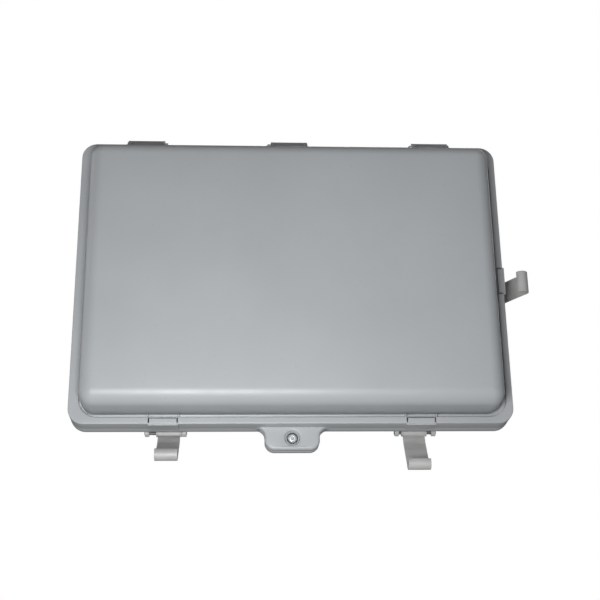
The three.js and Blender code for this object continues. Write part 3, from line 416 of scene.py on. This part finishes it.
def rounded_path(corners):
    """A path through (u, v, radius) corners, each rounded off by its radius."""
    path = []
    last = len(corners) - 1
    for i, (u, v, radius) in enumerate(corners):
        here = Vector((u, v))
        if radius == 0 or i in (0, last):
            path.append(here)
            continue
        before = Vector(corners[i - 1][:2]) - here
        after = Vector(corners[i + 1][:2]) - here
        reach = min(radius, before.length * 0.49, after.length * 0.49)
        start = here + before.normalized() * reach
        end = here + after.normalized() * reach
        for step in range(ROUND_STEPS + 1):
            t = step / ROUND_STEPS
            path.append((1 - t) ** 2 * start + 2 * t * (1 - t) * here + t ** 2 * end)
    return path


def loft(rings, bm=None, cap_start=False, cap_end=False):
    """Quads between rings of equal count, with flat ends where asked."""
    bm = bm or bmesh.new()
    rows = [[bm.verts.new(point) for point in points] for points in rings]
    for near, far in zip(rows, rows[1:]):
        for i in range(len(near)):
            j = (i + 1) % len(near)
            bm.faces.new((near[i], near[j], far[j], far[i]))
    if cap_start:
        bm.faces.new(rows[0])
    if cap_end:
        bm.faces.new(rows[-1][::-1])
    return bm


def prism(outline, low, high, axis, bm=None):
    """A closed outline of 2-D points drawn out along X or Y."""
    bm = bm or bmesh.new()
    place = {
        "X": lambda u, v, w: Vector((w, u, v)),
        "Y": lambda u, v, w: Vector((u, w, v)),
    }[axis]
    rings = [[place(u, v, w) for u, v in outline] for w in (low, high)]
    return loft(rings, bm, True, True)


def arc(u, v, radius, start, end, steps):
    """Points on an arc, angles in degrees."""
    return [
        (u + radius * cos(radians(start + (end - start) * i / steps)),
         v + radius * sin(radians(start + (end - start) * i / steps)))
        for i in range(steps + 1)
    ]


def lathe(profile, centre, axis, steps, bm=None):
    """A solid turned about X or Y from (radius, along) points."""
    bm = bm or bmesh.new()
    frames = {
        "X": (Vector((0, 1, 0)), Vector((0, 0, 1)), Vector((1, 0, 0))),
        "Y": (Vector((1, 0, 0)), Vector((0, 0, 1)), Vector((0, 1, 0))),
    }
    side, up, along_axis = frames[axis]
    rings = []
    for radius, along in profile:
        rings.append([
            Vector(centre) + along_axis * along
            + (side * cos(2 * pi * i / steps) + up * sin(2 * pi * i / steps)) * radius
            for i in range(steps)
        ])
    return loft(rings, bm, profile[0][0] > 0, profile[-1][0] > 0)


def plate(outline, holes, front_y, back_y, edge):
    """A flat plate in X and Z with rounded rims round its outline and its holes."""
    curve = bpy.data.curves.new("outline", "CURVE")
    curve.dimensions = "2D"
    curve.fill_mode = "BOTH"
    curve.extrude = (back_y - front_y) / 2 - edge
    curve.bevel_depth = edge
    curve.bevel_resolution = 4
    curve.offset = -edge
    for points in (outline, *holes):
        spline = curve.splines.new("POLY")
        spline.points.add(len(points) - 1)
        for target, (x, z) in zip(spline.points, points):
            target.co = (x, z, 0, 1)
        spline.use_cyclic_u = True
    holder = bpy.data.objects.new("outline", curve)
    mesh = bpy.data.meshes.new_from_object(holder)
    turn = Matrix.Translation((0, (front_y + back_y) / 2, 0)) @ Matrix.Rotation(pi / 2, 4, "X")
    mesh.transform(turn)
    bm = bmesh.new()
    bm.from_mesh(mesh)
    bpy.data.objects.remove(holder)
    bpy.data.curves.remove(curve)
    bpy.data.meshes.remove(mesh)
    return bm


def circle(x, z, radius):
    """Points round a circle."""
    angles = [2 * pi * i / CIRCLE_STEPS for i in range(CIRCLE_STEPS)]
    return [(x + radius * cos(angle), z + radius * sin(angle)) for angle in angles]


def block(low, high, bm=None):
    """A box between two corners."""
    outline = [(low[0], low[2]), (high[0], low[2]), (high[0], high[2]), (low[0], high[2])]
    return prism(outline, low[1], high[1], "Y", bm)


# ---------------------------------------------------------------- the door

TAB_HALF = 28 * MM
TAB_DROP = 23.5 * MM
TAB_CORNER = 10 * MM
TAB_FILLET = 9 * MM
TAB_FACE_DEPTH = 14 * MM
TAB_SPLIT_DEPTH = 24 * MM
TAB_EDGE = 2.8 * MM
CUP_RADIUS = 7.2 * MM
LOCK_Z = JOINTS["lock_turn"]["pos_m"][2]
LATCH_X = JOINTS["latch_right_hinge"]["pos_m"][0]
SIDE_LATCH_Z = JOINTS["latch_side_hinge"]["pos_m"][2]
PAD_HALF = 15 * MM
SIDE_PAD_HALF = 14.75 * MM
PAD_RISE = 1.5 * MM
KNUCKLE_RADIUS = 4 * MM
KNUCKLE_HALF = 15 * MM
SHOULDER_STEPS = 12
CROWN_MARGIN = 8 * MM  # from the crown's innermost ring to the middle line


def dome_ring(height, shrink, wall):
    """The dome's outline at a height above the flange, drawn in by the draft and the shrink."""
    inset = DOME_INSET + wall + DOME_DRAFT * height + shrink
    return door_ring(inset, -height, max(DOME_CORNER - wall - shrink, 1.2 * MM))


def dome_rings(wall):
    """From the dome's foot to its front: the leaning side, the round shoulder and the crown."""
    shoulder = DOME_SHOULDER - wall
    rise = DOME_RISE - wall - DOME_CROWN
    rings = [dome_ring(height, 0, wall) for height in (0.0, (rise - shoulder) / 2)]
    for step in range(SHOULDER_STEPS + 1):
        angle = radians(90 * step / SHOULDER_STEPS)
        height = rise - shoulder + shoulder * sin(angle)
        rings.append(dome_ring(height, shoulder * (1 - cos(angle)), wall))
    reach = DOOR_HALF_Z - shoulder - DOME_INSET - CROWN_MARGIN
    for share in (0.12, 0.3, 0.55, 0.8, 0.97):
        crown = DOME_CROWN * (1 - (1 - share) ** 2)
        rings.append(dome_ring(rise + crown, shoulder + reach * share, wall))
    return rings


def groove_rings():
    """The channel beside the latched edges, closing up along the other two, and the dome's crease."""
    crease_inset = DOME_INSET - CREASE_WIDTH
    outer = ring(
        -DOOR_HALF_X + crease_inset, -DOOR_HALF_Z + RIDGE_WIDTH,
        DOOR_HALF_X - RIDGE_WIDTH, DOOR_HALF_Z - crease_inset, GROOVE_CORNER, FLANGE_Y,
    )
    inner = door_ring(crease_inset, 0, DOME_CORNER + CREASE_WIDTH)
    foot = dome_ring(0, 0, 0)
    shut_width = 0.5 * MM
    opening_width = 3 * MM
    depths = []
    for a, b in zip(outer, inner):
        open_share = min(1.0, max(0.0, ((a - b).length - shut_width) / opening_width))
        depths.append(GROOVE_DEPTH * open_share * open_share * (3 - 2 * open_share))

    def between(share, sink):
        """A ring part of the way across the channel, sunk by a share of its depth."""
        return [
            a.lerp(b, share) + Vector((0, depth * sink, 0))
            for a, b, depth in zip(outer, inner, depths)
        ]

    def crease(share, sink):
        """A ring part of the way across the crease, sunk below the channel's floor."""
        return [
            a.lerp(b, share) + Vector((0, depth * 0.9 + sink, 0))
            for a, b, depth in zip(inner, foot, depths)
        ]

    return [
        between(-0.08, 0), between(-0.02, 0.01), between(0.02, 0.06), between(0.05, 0.88),
        between(0.12, 1), between(0.85, 1), between(0.95, 0.95),
        crease(0.05, 0), crease(0.25, CREASE_DEPTH), crease(0.95, CREASE_DEPTH), crease(1, 0.3 * MM),
    ]


def door_shell():
    """One skin: the inside of the dome, the seal channel, the skirt, the flange and the dome."""
    inside = list(reversed(dome_rings(WALL)))
    section = rounded_path([
        (DOME_INSET + WALL, 0, 0),
        (DOME_INSET + WALL, SEAL_RIB_DEPTH, 0.5 * MM),
        (SEAL_RIB_INSET, SEAL_RIB_DEPTH, 0.5 * MM),
        (SEAL_RIB_INSET, SEAL_DEPTH, 0.4 * MM),
        (WALL, SEAL_DEPTH, 0.4 * MM),
        (WALL - SKIRT_FLARE, SKIRT_DEPTH, 0.5 * MM),
        (-SKIRT_FLARE, SKIRT_DEPTH, 0.5 * MM),
        (0, 0, SKIRT_EDGE),
        (SKIRT_EDGE * 1.3, 0, 0),
    ])
    channel = [door_ring(inset, depth) for inset, depth in section[1:]]
    rings = inside + channel + groove_rings() + dome_rings(0)
    bm = loft(rings, cap_start=True, cap_end=True)
    piece("door_moulding", bm, "door", "grey_shell", ["door_shell"])


def latch_pad(length):
    """A square-edged block on the lower edge with a raised border, and a rib past each end."""
    edge = -DOOR_HALF_Z - PAD_RISE
    inner = -DOOR_HALF_Z + RIDGE_WIDTH + 0.2 * MM
    half = length / 2
    rim = 1.3 * MM
    panel = at_depth(0.35 * MM)
    bm = block((-half, panel, edge), (half, at_depth(6 * MM), inner))
    block((-half, at_depth(5.5 * MM), edge), (half, at_depth(SKIRT_DEPTH), edge + WALL), bm)
    block((-half, FLANGE_Y, edge), (-half + rim, panel, inner), bm)
    block((half - rim, FLANGE_Y, edge), (half, panel, inner), bm)
    block((-half + rim, FLANGE_Y, edge), (half - rim, panel, edge + rim), bm)
    block((-half + rim, FLANGE_Y, inner - rim), (half - rim, panel, inner), bm)
    line = (edge + inner) / 2 - 0.4 * MM
    block((-half + 2 * rim, panel - 0.2 * MM, line), (half - 2 * rim, panel, line + 0.5 * MM), bm)
    rib_width = 1 * MM
    rib_gap = 0.1 * MM
    rib_end = -DOOR_HALF_Z + DOME_INSET - CREASE_WIDTH
    for low in (-half - rib_gap - rib_width, half + rib_gap):
        rib_low = (low, at_depth(0.6 * MM), inner - MM)
        block(rib_low, (low + rib_width, at_depth(GROOVE_DEPTH), rib_end), bm)
    return bm


def latch_pads():
    """Two pads on the lower edge and one, turned, on the right-hand edge."""
    for side, x in (("left", -LATCH_X), ("right", LATCH_X)):
        bm = latch_pad(2 * PAD_HALF)
        bmesh.ops.translate(bm, verts=bm.verts, vec=(x, 0, 0))
        add_bevel(piece(f"latch_pad_{side}", bm, "door", "grey_shell"), 0.25 * MM, 2)
    bm = latch_pad(2 * SIDE_PAD_HALF)
    bmesh.ops.translate(bm, verts=bm.verts, vec=(0, 0, DOOR_HALF_Z))
    bmesh.ops.rotate(bm, verts=bm.verts, matrix=Matrix.Rotation(-pi / 2, 3, "Y"))
    bmesh.ops.translate(bm, verts=bm.verts, vec=(DOOR_HALF_X, 0, SIDE_LATCH_Z))
    add_bevel(piece("latch_pad_side", bm, "door", "grey_shell"), 0.25 * MM, 2)


def tab_outline():
    """The lock tab seen from the front: round lower corners and a fillet up each side."""
    top = -DOOR_HALF_Z + 8 * MM
    edge = -DOOR_HALF_Z - SKIRT_FLARE
    bottom = -DOOR_HALF_Z - TAB_DROP
    left_fillet = arc(-TAB_HALF - TAB_FILLET, edge - TAB_FILLET, TAB_FILLET, 90, 0, 12)
    left_corner = arc(-TAB_HALF + TAB_CORNER, bottom + TAB_CORNER, TAB_CORNER, 180, 270, 12)
    left = [(-TAB_HALF - TAB_FILLET, top)] + left_fillet + left_corner
    return left + [(-x, z) for x, z in reversed(left)]


def door_tab():
    """The front half of the lock tab, with a cup that the bolt's head sits in."""
    face = at_depth(TAB_FACE_DEPTH)
    bore = circle(0, LOCK_Z, 7 * MM)
    bm = plate(tab_outline(), [bore], face, at_depth(TAB_SPLIT_DEPTH), TAB_EDGE)
    keep_above = -BASE_HALF_Z - 0.6 * MM
    for vert in bm.verts:
        behind_skirt = vert.co.y > at_depth(SKIRT_DEPTH)
        if behind_skirt and vert.co.z > keep_above:
            vert.co.z = keep_above
    piece("door_lock_tab", bm, "door", "grey_shell")
    recess = 5.6 * MM
    shank_hole = 3.2 * MM
    floor_depth = 22 * MM - TAB_FACE_DEPTH
    back_depth = TAB_SPLIT_DEPTH - TAB_FACE_DEPTH
    cup = lathe([
        (CUP_RADIUS, 2.6 * MM), (CUP_RADIUS, 1.2 * MM), (6.8 * MM, 0.5 * MM),
        (6.2 * MM, 0.6 * MM), (recess + 0.2 * MM, 1.4 * MM), (recess, 2.2 * MM),
        (recess, floor_depth), (shank_hole, floor_depth), (shank_hole, back_depth),
        (CUP_RADIUS, back_depth), (CUP_RADIUS, 2.6 * MM),
    ], (0, face, LOCK_Z), "Y", 48)
    piece("door_lock_cup", cup, "door", "grey_shell")


def door_knuckles():
    """The door's round knuckle at each hinge, on a web from its skirt."""
    hinge = JOINTS["door_hinge"]["pos_m"]
    back = at_depth(SKIRT_DEPTH)
    root_z = DOOR_HALF_Z - 2 * MM
    outline = [(hinge[1] - KNUCKLE_RADIUS, root_z), (back, root_z)]
    outline += [(back, hinge[2] - KNUCKLE_RADIUS + MM)]
    outline += arc(hinge[1], hinge[2], KNUCKLE_RADIUS, -43, 180, 22)
    for name, x in HINGE_PLACES.items():
        bm = prism(outline, x - KNUCKLE_HALF, x + KNUCKLE_HALF, "X")
        add_bevel(piece(f"door_knuckle_{name}", bm, "door", "grey_shell"), 0.35 * MM, 2)


# ---------------------------------------------------------------- the base

CASING_MIDDLE = 40 * MM
BACK_INSETS = (20 * MM, 60 * MM, 130 * MM)
BACK_STEPS = 5
WEB_HALF = 1.2 * MM
HINGE_TOP = 170.5 * MM
EAR_GAP_HALF = 17 * MM
EAR_THICKNESS = 4.5 * MM
EAR_RADIUS = 3.9 * MM
EAR_REACH = 12.5 * MM
EAR_ROOT = 9 * MM


def casing_ring(extra, depth):
    """The casing's outline, leaning inward towards the back."""
    lean = CASING_DRAFT * (depth - BASE_FRONT_DEPTH)
    inset = CASING_INSET + extra + lean
    return base_ring(inset, depth, max(CASING_CORNER - extra, 3 * MM))


def back_ring(extra, depth):
    """A ring on the casing's flat back, outside or inside."""
    return base_ring(CASING_INSET + extra, depth, max(CASING_CORNER - extra, 4 * MM))


def base_shell():
    """One skin: the casing's inside, the rim with its sealing tongue, the flange and the back."""
    back = -FLANGE_Y
    inside_floor = back - WALL
    rings = [back_ring(extra, inside_floor) for extra in (*reversed(BACK_INSETS), WALL + 3 * MM)]
    rings += [casing_ring(WALL + 0.9 * MM, inside_floor - 0.5 * MM)]
    rings += [casing_ring(WALL, inside_floor - 3 * MM), casing_ring(WALL, CASING_MIDDLE)]
    rings += [casing_ring(WALL, BASE_FRONT_DEPTH + 0.6 * MM)]
    front = rounded_path([
        (CASING_INSET + WALL, BASE_FRONT_DEPTH + 0.5 * MM, 0),
        (CASING_INSET + WALL, BASE_FRONT_DEPTH, 0.4 * MM),
        (TONGUE_INSET + TONGUE_WIDTH, BASE_FRONT_DEPTH, 0.3 * MM),
        (TONGUE_INSET + TONGUE_WIDTH, TONGUE_FRONT_DEPTH, 0.6 * MM),
        (TONGUE_INSET, TONGUE_FRONT_DEPTH, 0.6 * MM),
        (TONGUE_INSET, BASE_FRONT_DEPTH, 0.3 * MM),
        (SHADOW_GROOVE, BASE_FRONT_DEPTH, 0.3 * MM),
        (SHADOW_GROOVE, BASE_FRONT_DEPTH + 2 * MM, 0.3 * MM),
        (1 * MM, RIM_SLOPE_START, 0.3 * MM),
        (0, RIM_SLOPE_END, 1 * MM),
        (0, BASE_FLANGE_DEPTH, 0.8 * MM),
        (WALL, BASE_FLANGE_DEPTH, 0.5 * MM),
        (WALL, BASE_FRONT_DEPTH + BASE_PLATE, 0.8 * MM),
        (CASING_INSET, BASE_FRONT_DEPTH + BASE_PLATE, 0.8 * MM),
        (CASING_INSET, BASE_FRONT_DEPTH + BASE_PLATE + 4 * MM, 0),
    ])
    rings += [base_ring(inset, depth) for inset, depth in front[1:]]
    rings += [casing_ring(0, CASING_MIDDLE), casing_ring(0, back - BACK_ROUND)]
    for step in range(1, BACK_STEPS + 1):
        angle = radians(90 * step / BACK_STEPS)
        ring_depth = back - BACK_ROUND + BACK_ROUND * sin(angle)
        rings.append(casing_ring(BACK_ROUND * (1 - cos(angle)), ring_depth))
    rings += [back_ring(extra, back) for extra in BACK_INSETS]
    bm = loft(rings, cap_start=True, cap_end=True)
    piece("base_moulding", bm, "base", "grey_shell", ["base_shell"])


def base_webs():
    """Thin stiffening webs in the channel behind the flange."""
    bm = bmesh.new()
    front = at_depth(BASE_FRONT_DEPTH + BASE_PLATE) - 0.5 * MM
    back = at_depth(BASE_FLANGE_DEPTH) - 2 * MM
    outer_z = BASE_HALF_Z - MM
    inner_z = outer_z - CASING_INSET
    outer_x = BASE_HALF_X - MM
    inner_x = outer_x - CASING_INSET
    for x in (-190 * MM, -75 * MM, 75 * MM, 190 * MM):
        block((x - WEB_HALF, front, -outer_z), (x + WEB_HALF, back, -inner_z), bm)
        block((x - WEB_HALF, front, inner_z), (x + WEB_HALF, back, outer_z), bm)
    for z in (-100 * MM, 50 * MM, 100 * MM):
        block((-outer_x, front, z - WEB_HALF), (-inner_x, back, z + WEB_HALF), bm)
        block((inner_x, front, z - WEB_HALF), (outer_x, back, z + WEB_HALF), bm)
    add_bevel(piece("base_webs", bm, "base", "grey_shell"), 0.3 * MM, 2)


def hinge_brackets():
    """Two pin ears and the hood over them for each hinge, on the base's upper edge."""
    hinge = JOINTS["door_hinge"]["pos_m"]
    ear_radius = 4.4 * MM
    hood_wall = 3 * MM
    front_y = hinge[1] + ear_radius
    root_y = at_depth(BASE_FRONT_DEPTH) + 0.4 * MM
    back_y = at_depth(BASE_FLANGE_DEPTH) - 2 * MM
    root_z = BASE_HALF_Z - 2 * MM
    under_z = HINGE_TOP - 2 * MM
    inner = KNUCKLE_HALF + GAP
    outer = inner + 5 * MM
    shared = [(back_y, root_z), (back_y, HINGE_TOP - MM), (back_y - MM, HINGE_TOP)]
    shared += [(front_y, HINGE_TOP)]
    ear = [(root_y, root_z)] + shared
    ear += arc(hinge[1], hinge[2], ear_radius, 34, 270, 24)
    ear += [(root_y, hinge[2] - ear_radius)]
    hood = [(back_y - hood_wall, root_z)] + shared
    hood += [(front_y, under_z), (back_y - hood_wall, under_z)]
    for name, x in HINGE_PLACES.items():
        for end, low, high in (("a", x - outer, x - inner), ("b", x + inner, x + outer)):
            bm = prism(ear, low, high, "X")
            add_bevel(piece(f"hinge_ear_{name}_{end}", bm, "base", "grey_shell"), 0.4 * MM, 3)
        bm = prism(hood, x - outer, x + outer, "X")
        add_bevel(piece(f"hinge_hood_{name}", bm, "base", "grey_shell"), 0.4 * MM, 3)


def base_tab():
    """The rear half of the lock tab, with a bore for the bolt's insert."""
    bore = circle(0, LOCK_Z, 6.8 * MM)
    front = at_depth(TAB_SPLIT_DEPTH) + GAP
    bm = plate(tab_outline(), [bore], front, at_depth(BASE_FLANGE_DEPTH), 1.2 * MM)
    for vert in bm.verts:
        vert.co.z = min(vert.co.z, -BASE_HALF_Z + 2.5 * MM)
    piece("base_lock_tab", bm, "base", "grey_shell")


def latch_ears(side, turned):
    """A pair of rounded ears that carry one latch's pin; turned puts them on the right side."""
    outline = [(-EAR_ROOT, EAR_REACH), (-EAR_RADIUS, 0)]
    outline += arc(0, 0, EAR_RADIUS, 180, 360, 20)
    outline += [(EAR_ROOT, EAR_REACH)]
    for end, low in (("a", -EAR_GAP_HALF - EAR_THICKNESS), ("b", EAR_GAP_HALF)):
        bm = prism(outline, low, low + EAR_THICKNESS, "X")
        put_at_pivot(bm, side, turned)
        ear = piece(f"latch_ear_{side}_{end}", bm, "base", "grey_shell")
        add_bevel(ear, 0.6 * MM, 3)


# ---------------------------------------------------------------- latches

PIN_HOLE = 2.3 * MM
STRAP_THICKNESS = 1.8 * MM
STRAP_HALF = 11.5 * MM
EYE_HALF = 13.25 * MM
EYE_CUT = 0.05 * MM  # the saw cut between the strap and each end of its rolled eye

# Each latch: its side, degrees open at rest, slip along its pin, and whether it is turned
# from the lower edge to the right-hand one.
LATCHES = (
    ("left", 41, 3.4 * MM, False),
    ("right", 56, -1.2 * MM, False),
    ("side", 30, 0, True),
)


def put_at_pivot(bm, side, turned):
    """Moves a mesh that was made round the origin to a latch's pivot."""
    if turned:
        bmesh.ops.rotate(bm, verts=bm.verts, matrix=Matrix.Rotation(-pi / 2, 3, "Y"))
    bmesh.ops.translate(bm, verts=bm.verts, vec=JOINTS[f"latch_{side}_hinge"]["pos_m"])


def strap_line():
    """The strap's middle line as (forward, out) from its pivot: the rolled eye, a bend, the hook."""
    eye = PIN_HOLE + STRAP_THICKNESS / 2
    hook = 5.5 * MM
    reach = 46.8 * MM
    out = 4.2 * MM
    bend = ((7, 4.0), (10, 4.7), (12, 5.0), (14, 4.9), (22, 4.55), (34, 4.25))
    points = arc(0, 0, eye, 374.5, 107, 30)
    points += [(0, eye), (4 * MM, eye + 0.35 * MM)]
    points += [(forward * MM, height * MM) for forward, height in bend]
    points += arc(reach, out - hook, hook, 90, -90, 22)
    points += [(reach - 1.2 * MM, out - 2 * hook)]
    return points


def ribbon(points, thickness):
    """The closed outline of a strip that follows the points."""
    left, right = [], []
    for i, (u, v) in enumerate(points):
        u0, v0 = points[max(i - 1, 0)]
        u1, v1 = points[min(i + 1, len(points) - 1)]
        length = hypot(u1 - u0, v1 - v0)
        du, dv = (v1 - v0) / length * thickness / 2, (u1 - u0) / length * thickness / 2
        right.append((u + du, v - dv))
        left.append((u - du, v + dv))
    return right + left[::-1]


def latch_strap(side, open_degrees, slip, turned):
    """A sprung steel strap rolled round its pin, with a hooked end."""
    outline = [(-forward, -out) for forward, out in ribbon(strap_line(), STRAP_THICKNESS)]
    bm = prism(outline, -STRAP_HALF, STRAP_HALF, "X")
    outer = PIN_HOLE + STRAP_THICKNESS
    soft = 0.3 * MM
    eye_start = STRAP_HALF + EYE_CUT
    for low, high in ((-EYE_HALF, -eye_start), (eye_start, EYE_HALF)):
        lathe([
            (PIN_HOLE, low), (outer - soft, low), (outer, low + soft), (outer, high - soft),
            (outer - soft, high), (PIN_HOLE, high), (PIN_HOLE, low),
        ], (0, 0, 0), "X", 36, bm)
    bmesh.ops.rotate(bm, verts=bm.verts, matrix=Matrix.Rotation(radians(open_degrees), 3, "X"))
    bmesh.ops.translate(bm, verts=bm.verts, vec=(slip, 0, 0))
    put_at_pivot(bm, side, turned)
    replaced = [f"latch_strap_{side}"]
    strap = piece(f"strap_{side}", bm, f"latch_{side}", "latch_steel", replaced)
    add_bevel(strap, 0.25 * MM, 2, 50)


# ---------------------------------------------------------------- the lock


HEAD_SIDES = 5
HEAD_TURN = radians(108)
SIDE_SHARES = (0.06, 0.35, 0.65, 0.94)  # how far along each side of the head its points stand
SHANK_RADIUS = 2.5 * MM


def head_corner(number):
    """The direction of one of the head's corners from the bolt's axis; it may be a fraction."""
    angle = HEAD_TURN + 2 * pi * number / HEAD_SIDES
    return Vector((cos(angle), 0, sin(angle)))


def five_sided(radius, y):
    """A ring along the head's five sides."""
    points = []
    for side in range(HEAD_SIDES):
        first = head_corner(side) * radius
        second = head_corner(side + 1) * radius
        points += [first.lerp(second, share) + Vector((0, y, LOCK_Z)) for share in SIDE_SHARES]
    return points


def disc(radius, y):
    """A round ring with a point for each point of a five-sided one."""
    middle = Vector((0, y, LOCK_Z))
    return [
        head_corner(side + share) * radius + middle
        for side in range(HEAD_SIDES) for share in SIDE_SHARES
    ]


def lock_bolt():
    """A five-sided security head with a pinned round socket, on its shank with cross wings."""
    face = at_depth(TAB_FACE_DEPTH) + 0.8 * MM
    head_back = face + 2.8 * MM
    rings = [
        disc(0.7 * MM, face + 0.4 * MM), disc(0.75 * MM, face + 1.9 * MM),
        disc(1.7 * MM, face + 1.9 * MM), disc(1.75 * MM, face + 0.3 * MM),
        disc(2.0 * MM, face + 0.05 * MM), disc(2.5 * MM, face),
        five_sided(3.9 * MM, face + 0.15 * MM), five_sided(4.3 * MM, face + 0.6 * MM),
        five_sided(4.3 * MM, head_back), disc(SHANK_RADIUS, head_back),
        disc(SHANK_RADIUS, at_depth(34.7 * MM)),
    ]
    bm = loft(rings, cap_start=True, cap_end=True)
    wing_low = (-4.6 * MM, at_depth(32.1 * MM), LOCK_Z - 1.2 * MM)
    wing_high = (4.6 * MM, at_depth(34.1 * MM), LOCK_Z + 1.2 * MM)
    block(wing_low, wing_high, bm)
    piece("lock_bolt_turned", bm, "lock", "bright_steel", ["lock_bolt"])


def lock_collar():
    """The rubber ring round the bolt's head, with a raised lip."""
    face = at_depth(TAB_FACE_DEPTH)
    profile = [
        (2.8, 3.9), (4.5, 3.9), (4.5, 1.9), (4.7, 1.6), (5.0, 1.6), (5.4, 2.0), (5.4, 7.7),
        (2.8, 7.7), (2.8, 3.9),
    ]
    bm = lathe([(r * MM, y * MM) for r, y in profile], (0, face, LOCK_Z), "Y", 48)
    piece("lock_collar", bm, "door", "black_rubber", ["lock_washer"])


# ---------------------------------------------------------------- carried-over CAD nodes

CAD_SHARP_ANGLE = radians(32)
# The latch pins get a dark steel colour: painted shade for the shadowed gap between their ears, under the flange.
OTHER_LOOKS = {f"latch_pin_{side}": "painted_shade_pin_steel" for side, *_ in LATCHES}


def carried_over():
    """Gives every CAD node that still shows its look, soft edges and smooth shading."""
    slots = {part["node"]: part["material_slot"] for part in frame["record"]["subparts"]}
    for name, obj in frame["nodes"].items():
        if obj.hide_render:
            continue
        look = OTHER_LOOKS.get(name, slots[name])
        obj.data.materials.clear()
        obj.data.materials.append(LOOKS[look])
        obj.data.shade_smooth()
        obj.data.set_sharp_from_angle(angle=CAD_SHARP_ANGLE)
        add_bevel(obj, 0.2 * MM, 2, 30)


# ---------------------------------------------------------------- making

LOOKS = {
    "grey_shell": moulded("moulded_grey", (0.40, 0.412, 0.42), 0.40, mottle=0.035, grain=0.03),
    "latch_steel": worn_steel("strap_steel", (0.46, 0.45, 0.44), 0.60, tone=0.1, metallic=0.2),
    "bright_steel": worn_steel("pin_steel", (0.86, 0.86, 0.86), 0.28, tone=0.06, metallic=0.55),
    # Dark steel for the latch pins, a painted shade.
    "painted_shade_pin_steel": worn_steel("painted_shade_latch_pin_steel", (0.16, 0.155, 0.15), 0.42, tone=0.1, metallic=0.7),
    "zinc_steel": worn_steel("zinc_plate", (0.50, 0.52, 0.54), 0.42, (1, 1, 0.05), 0.05),
    "brass": worn_steel("turned_brass", (0.70, 0.50, 0.22), 0.3, tone=0.1),
    "black_rubber": rubber("black_rubber", (0.018, 0.018, 0.02)),
    "tray_white": moulded("tray_plastic", (0.78, 0.79, 0.76), 0.45, mottle=0.02, grain=0.02),
    "clear_smoke": clear_plastic("clear_cover", (0.86, 0.91, 0.93)),
    "adapter_blue": moulded("adapter_plastic", (0.02, 0.12, 0.42), 0.35, grain=0.02),
    "cap_white": moulded("cap_plastic", (0.84, 0.84, 0.80), 0.5, mottle=0.02, grain=0.02),
}

bpy.context.scene.view_settings.view_transform = "Standard"
camera()
studio()
floor()
door_shell()
latch_pads()
door_tab()
door_knuckles()
base_shell()
base_webs()
hinge_brackets()
base_tab()
for side, *_, turned in LATCHES:
    latch_ears(side, turned)
for latch in LATCHES:
    latch_strap(*latch)
lock_bolt()
lock_collar()
carried_over()

bpy.context.view_layer.update()
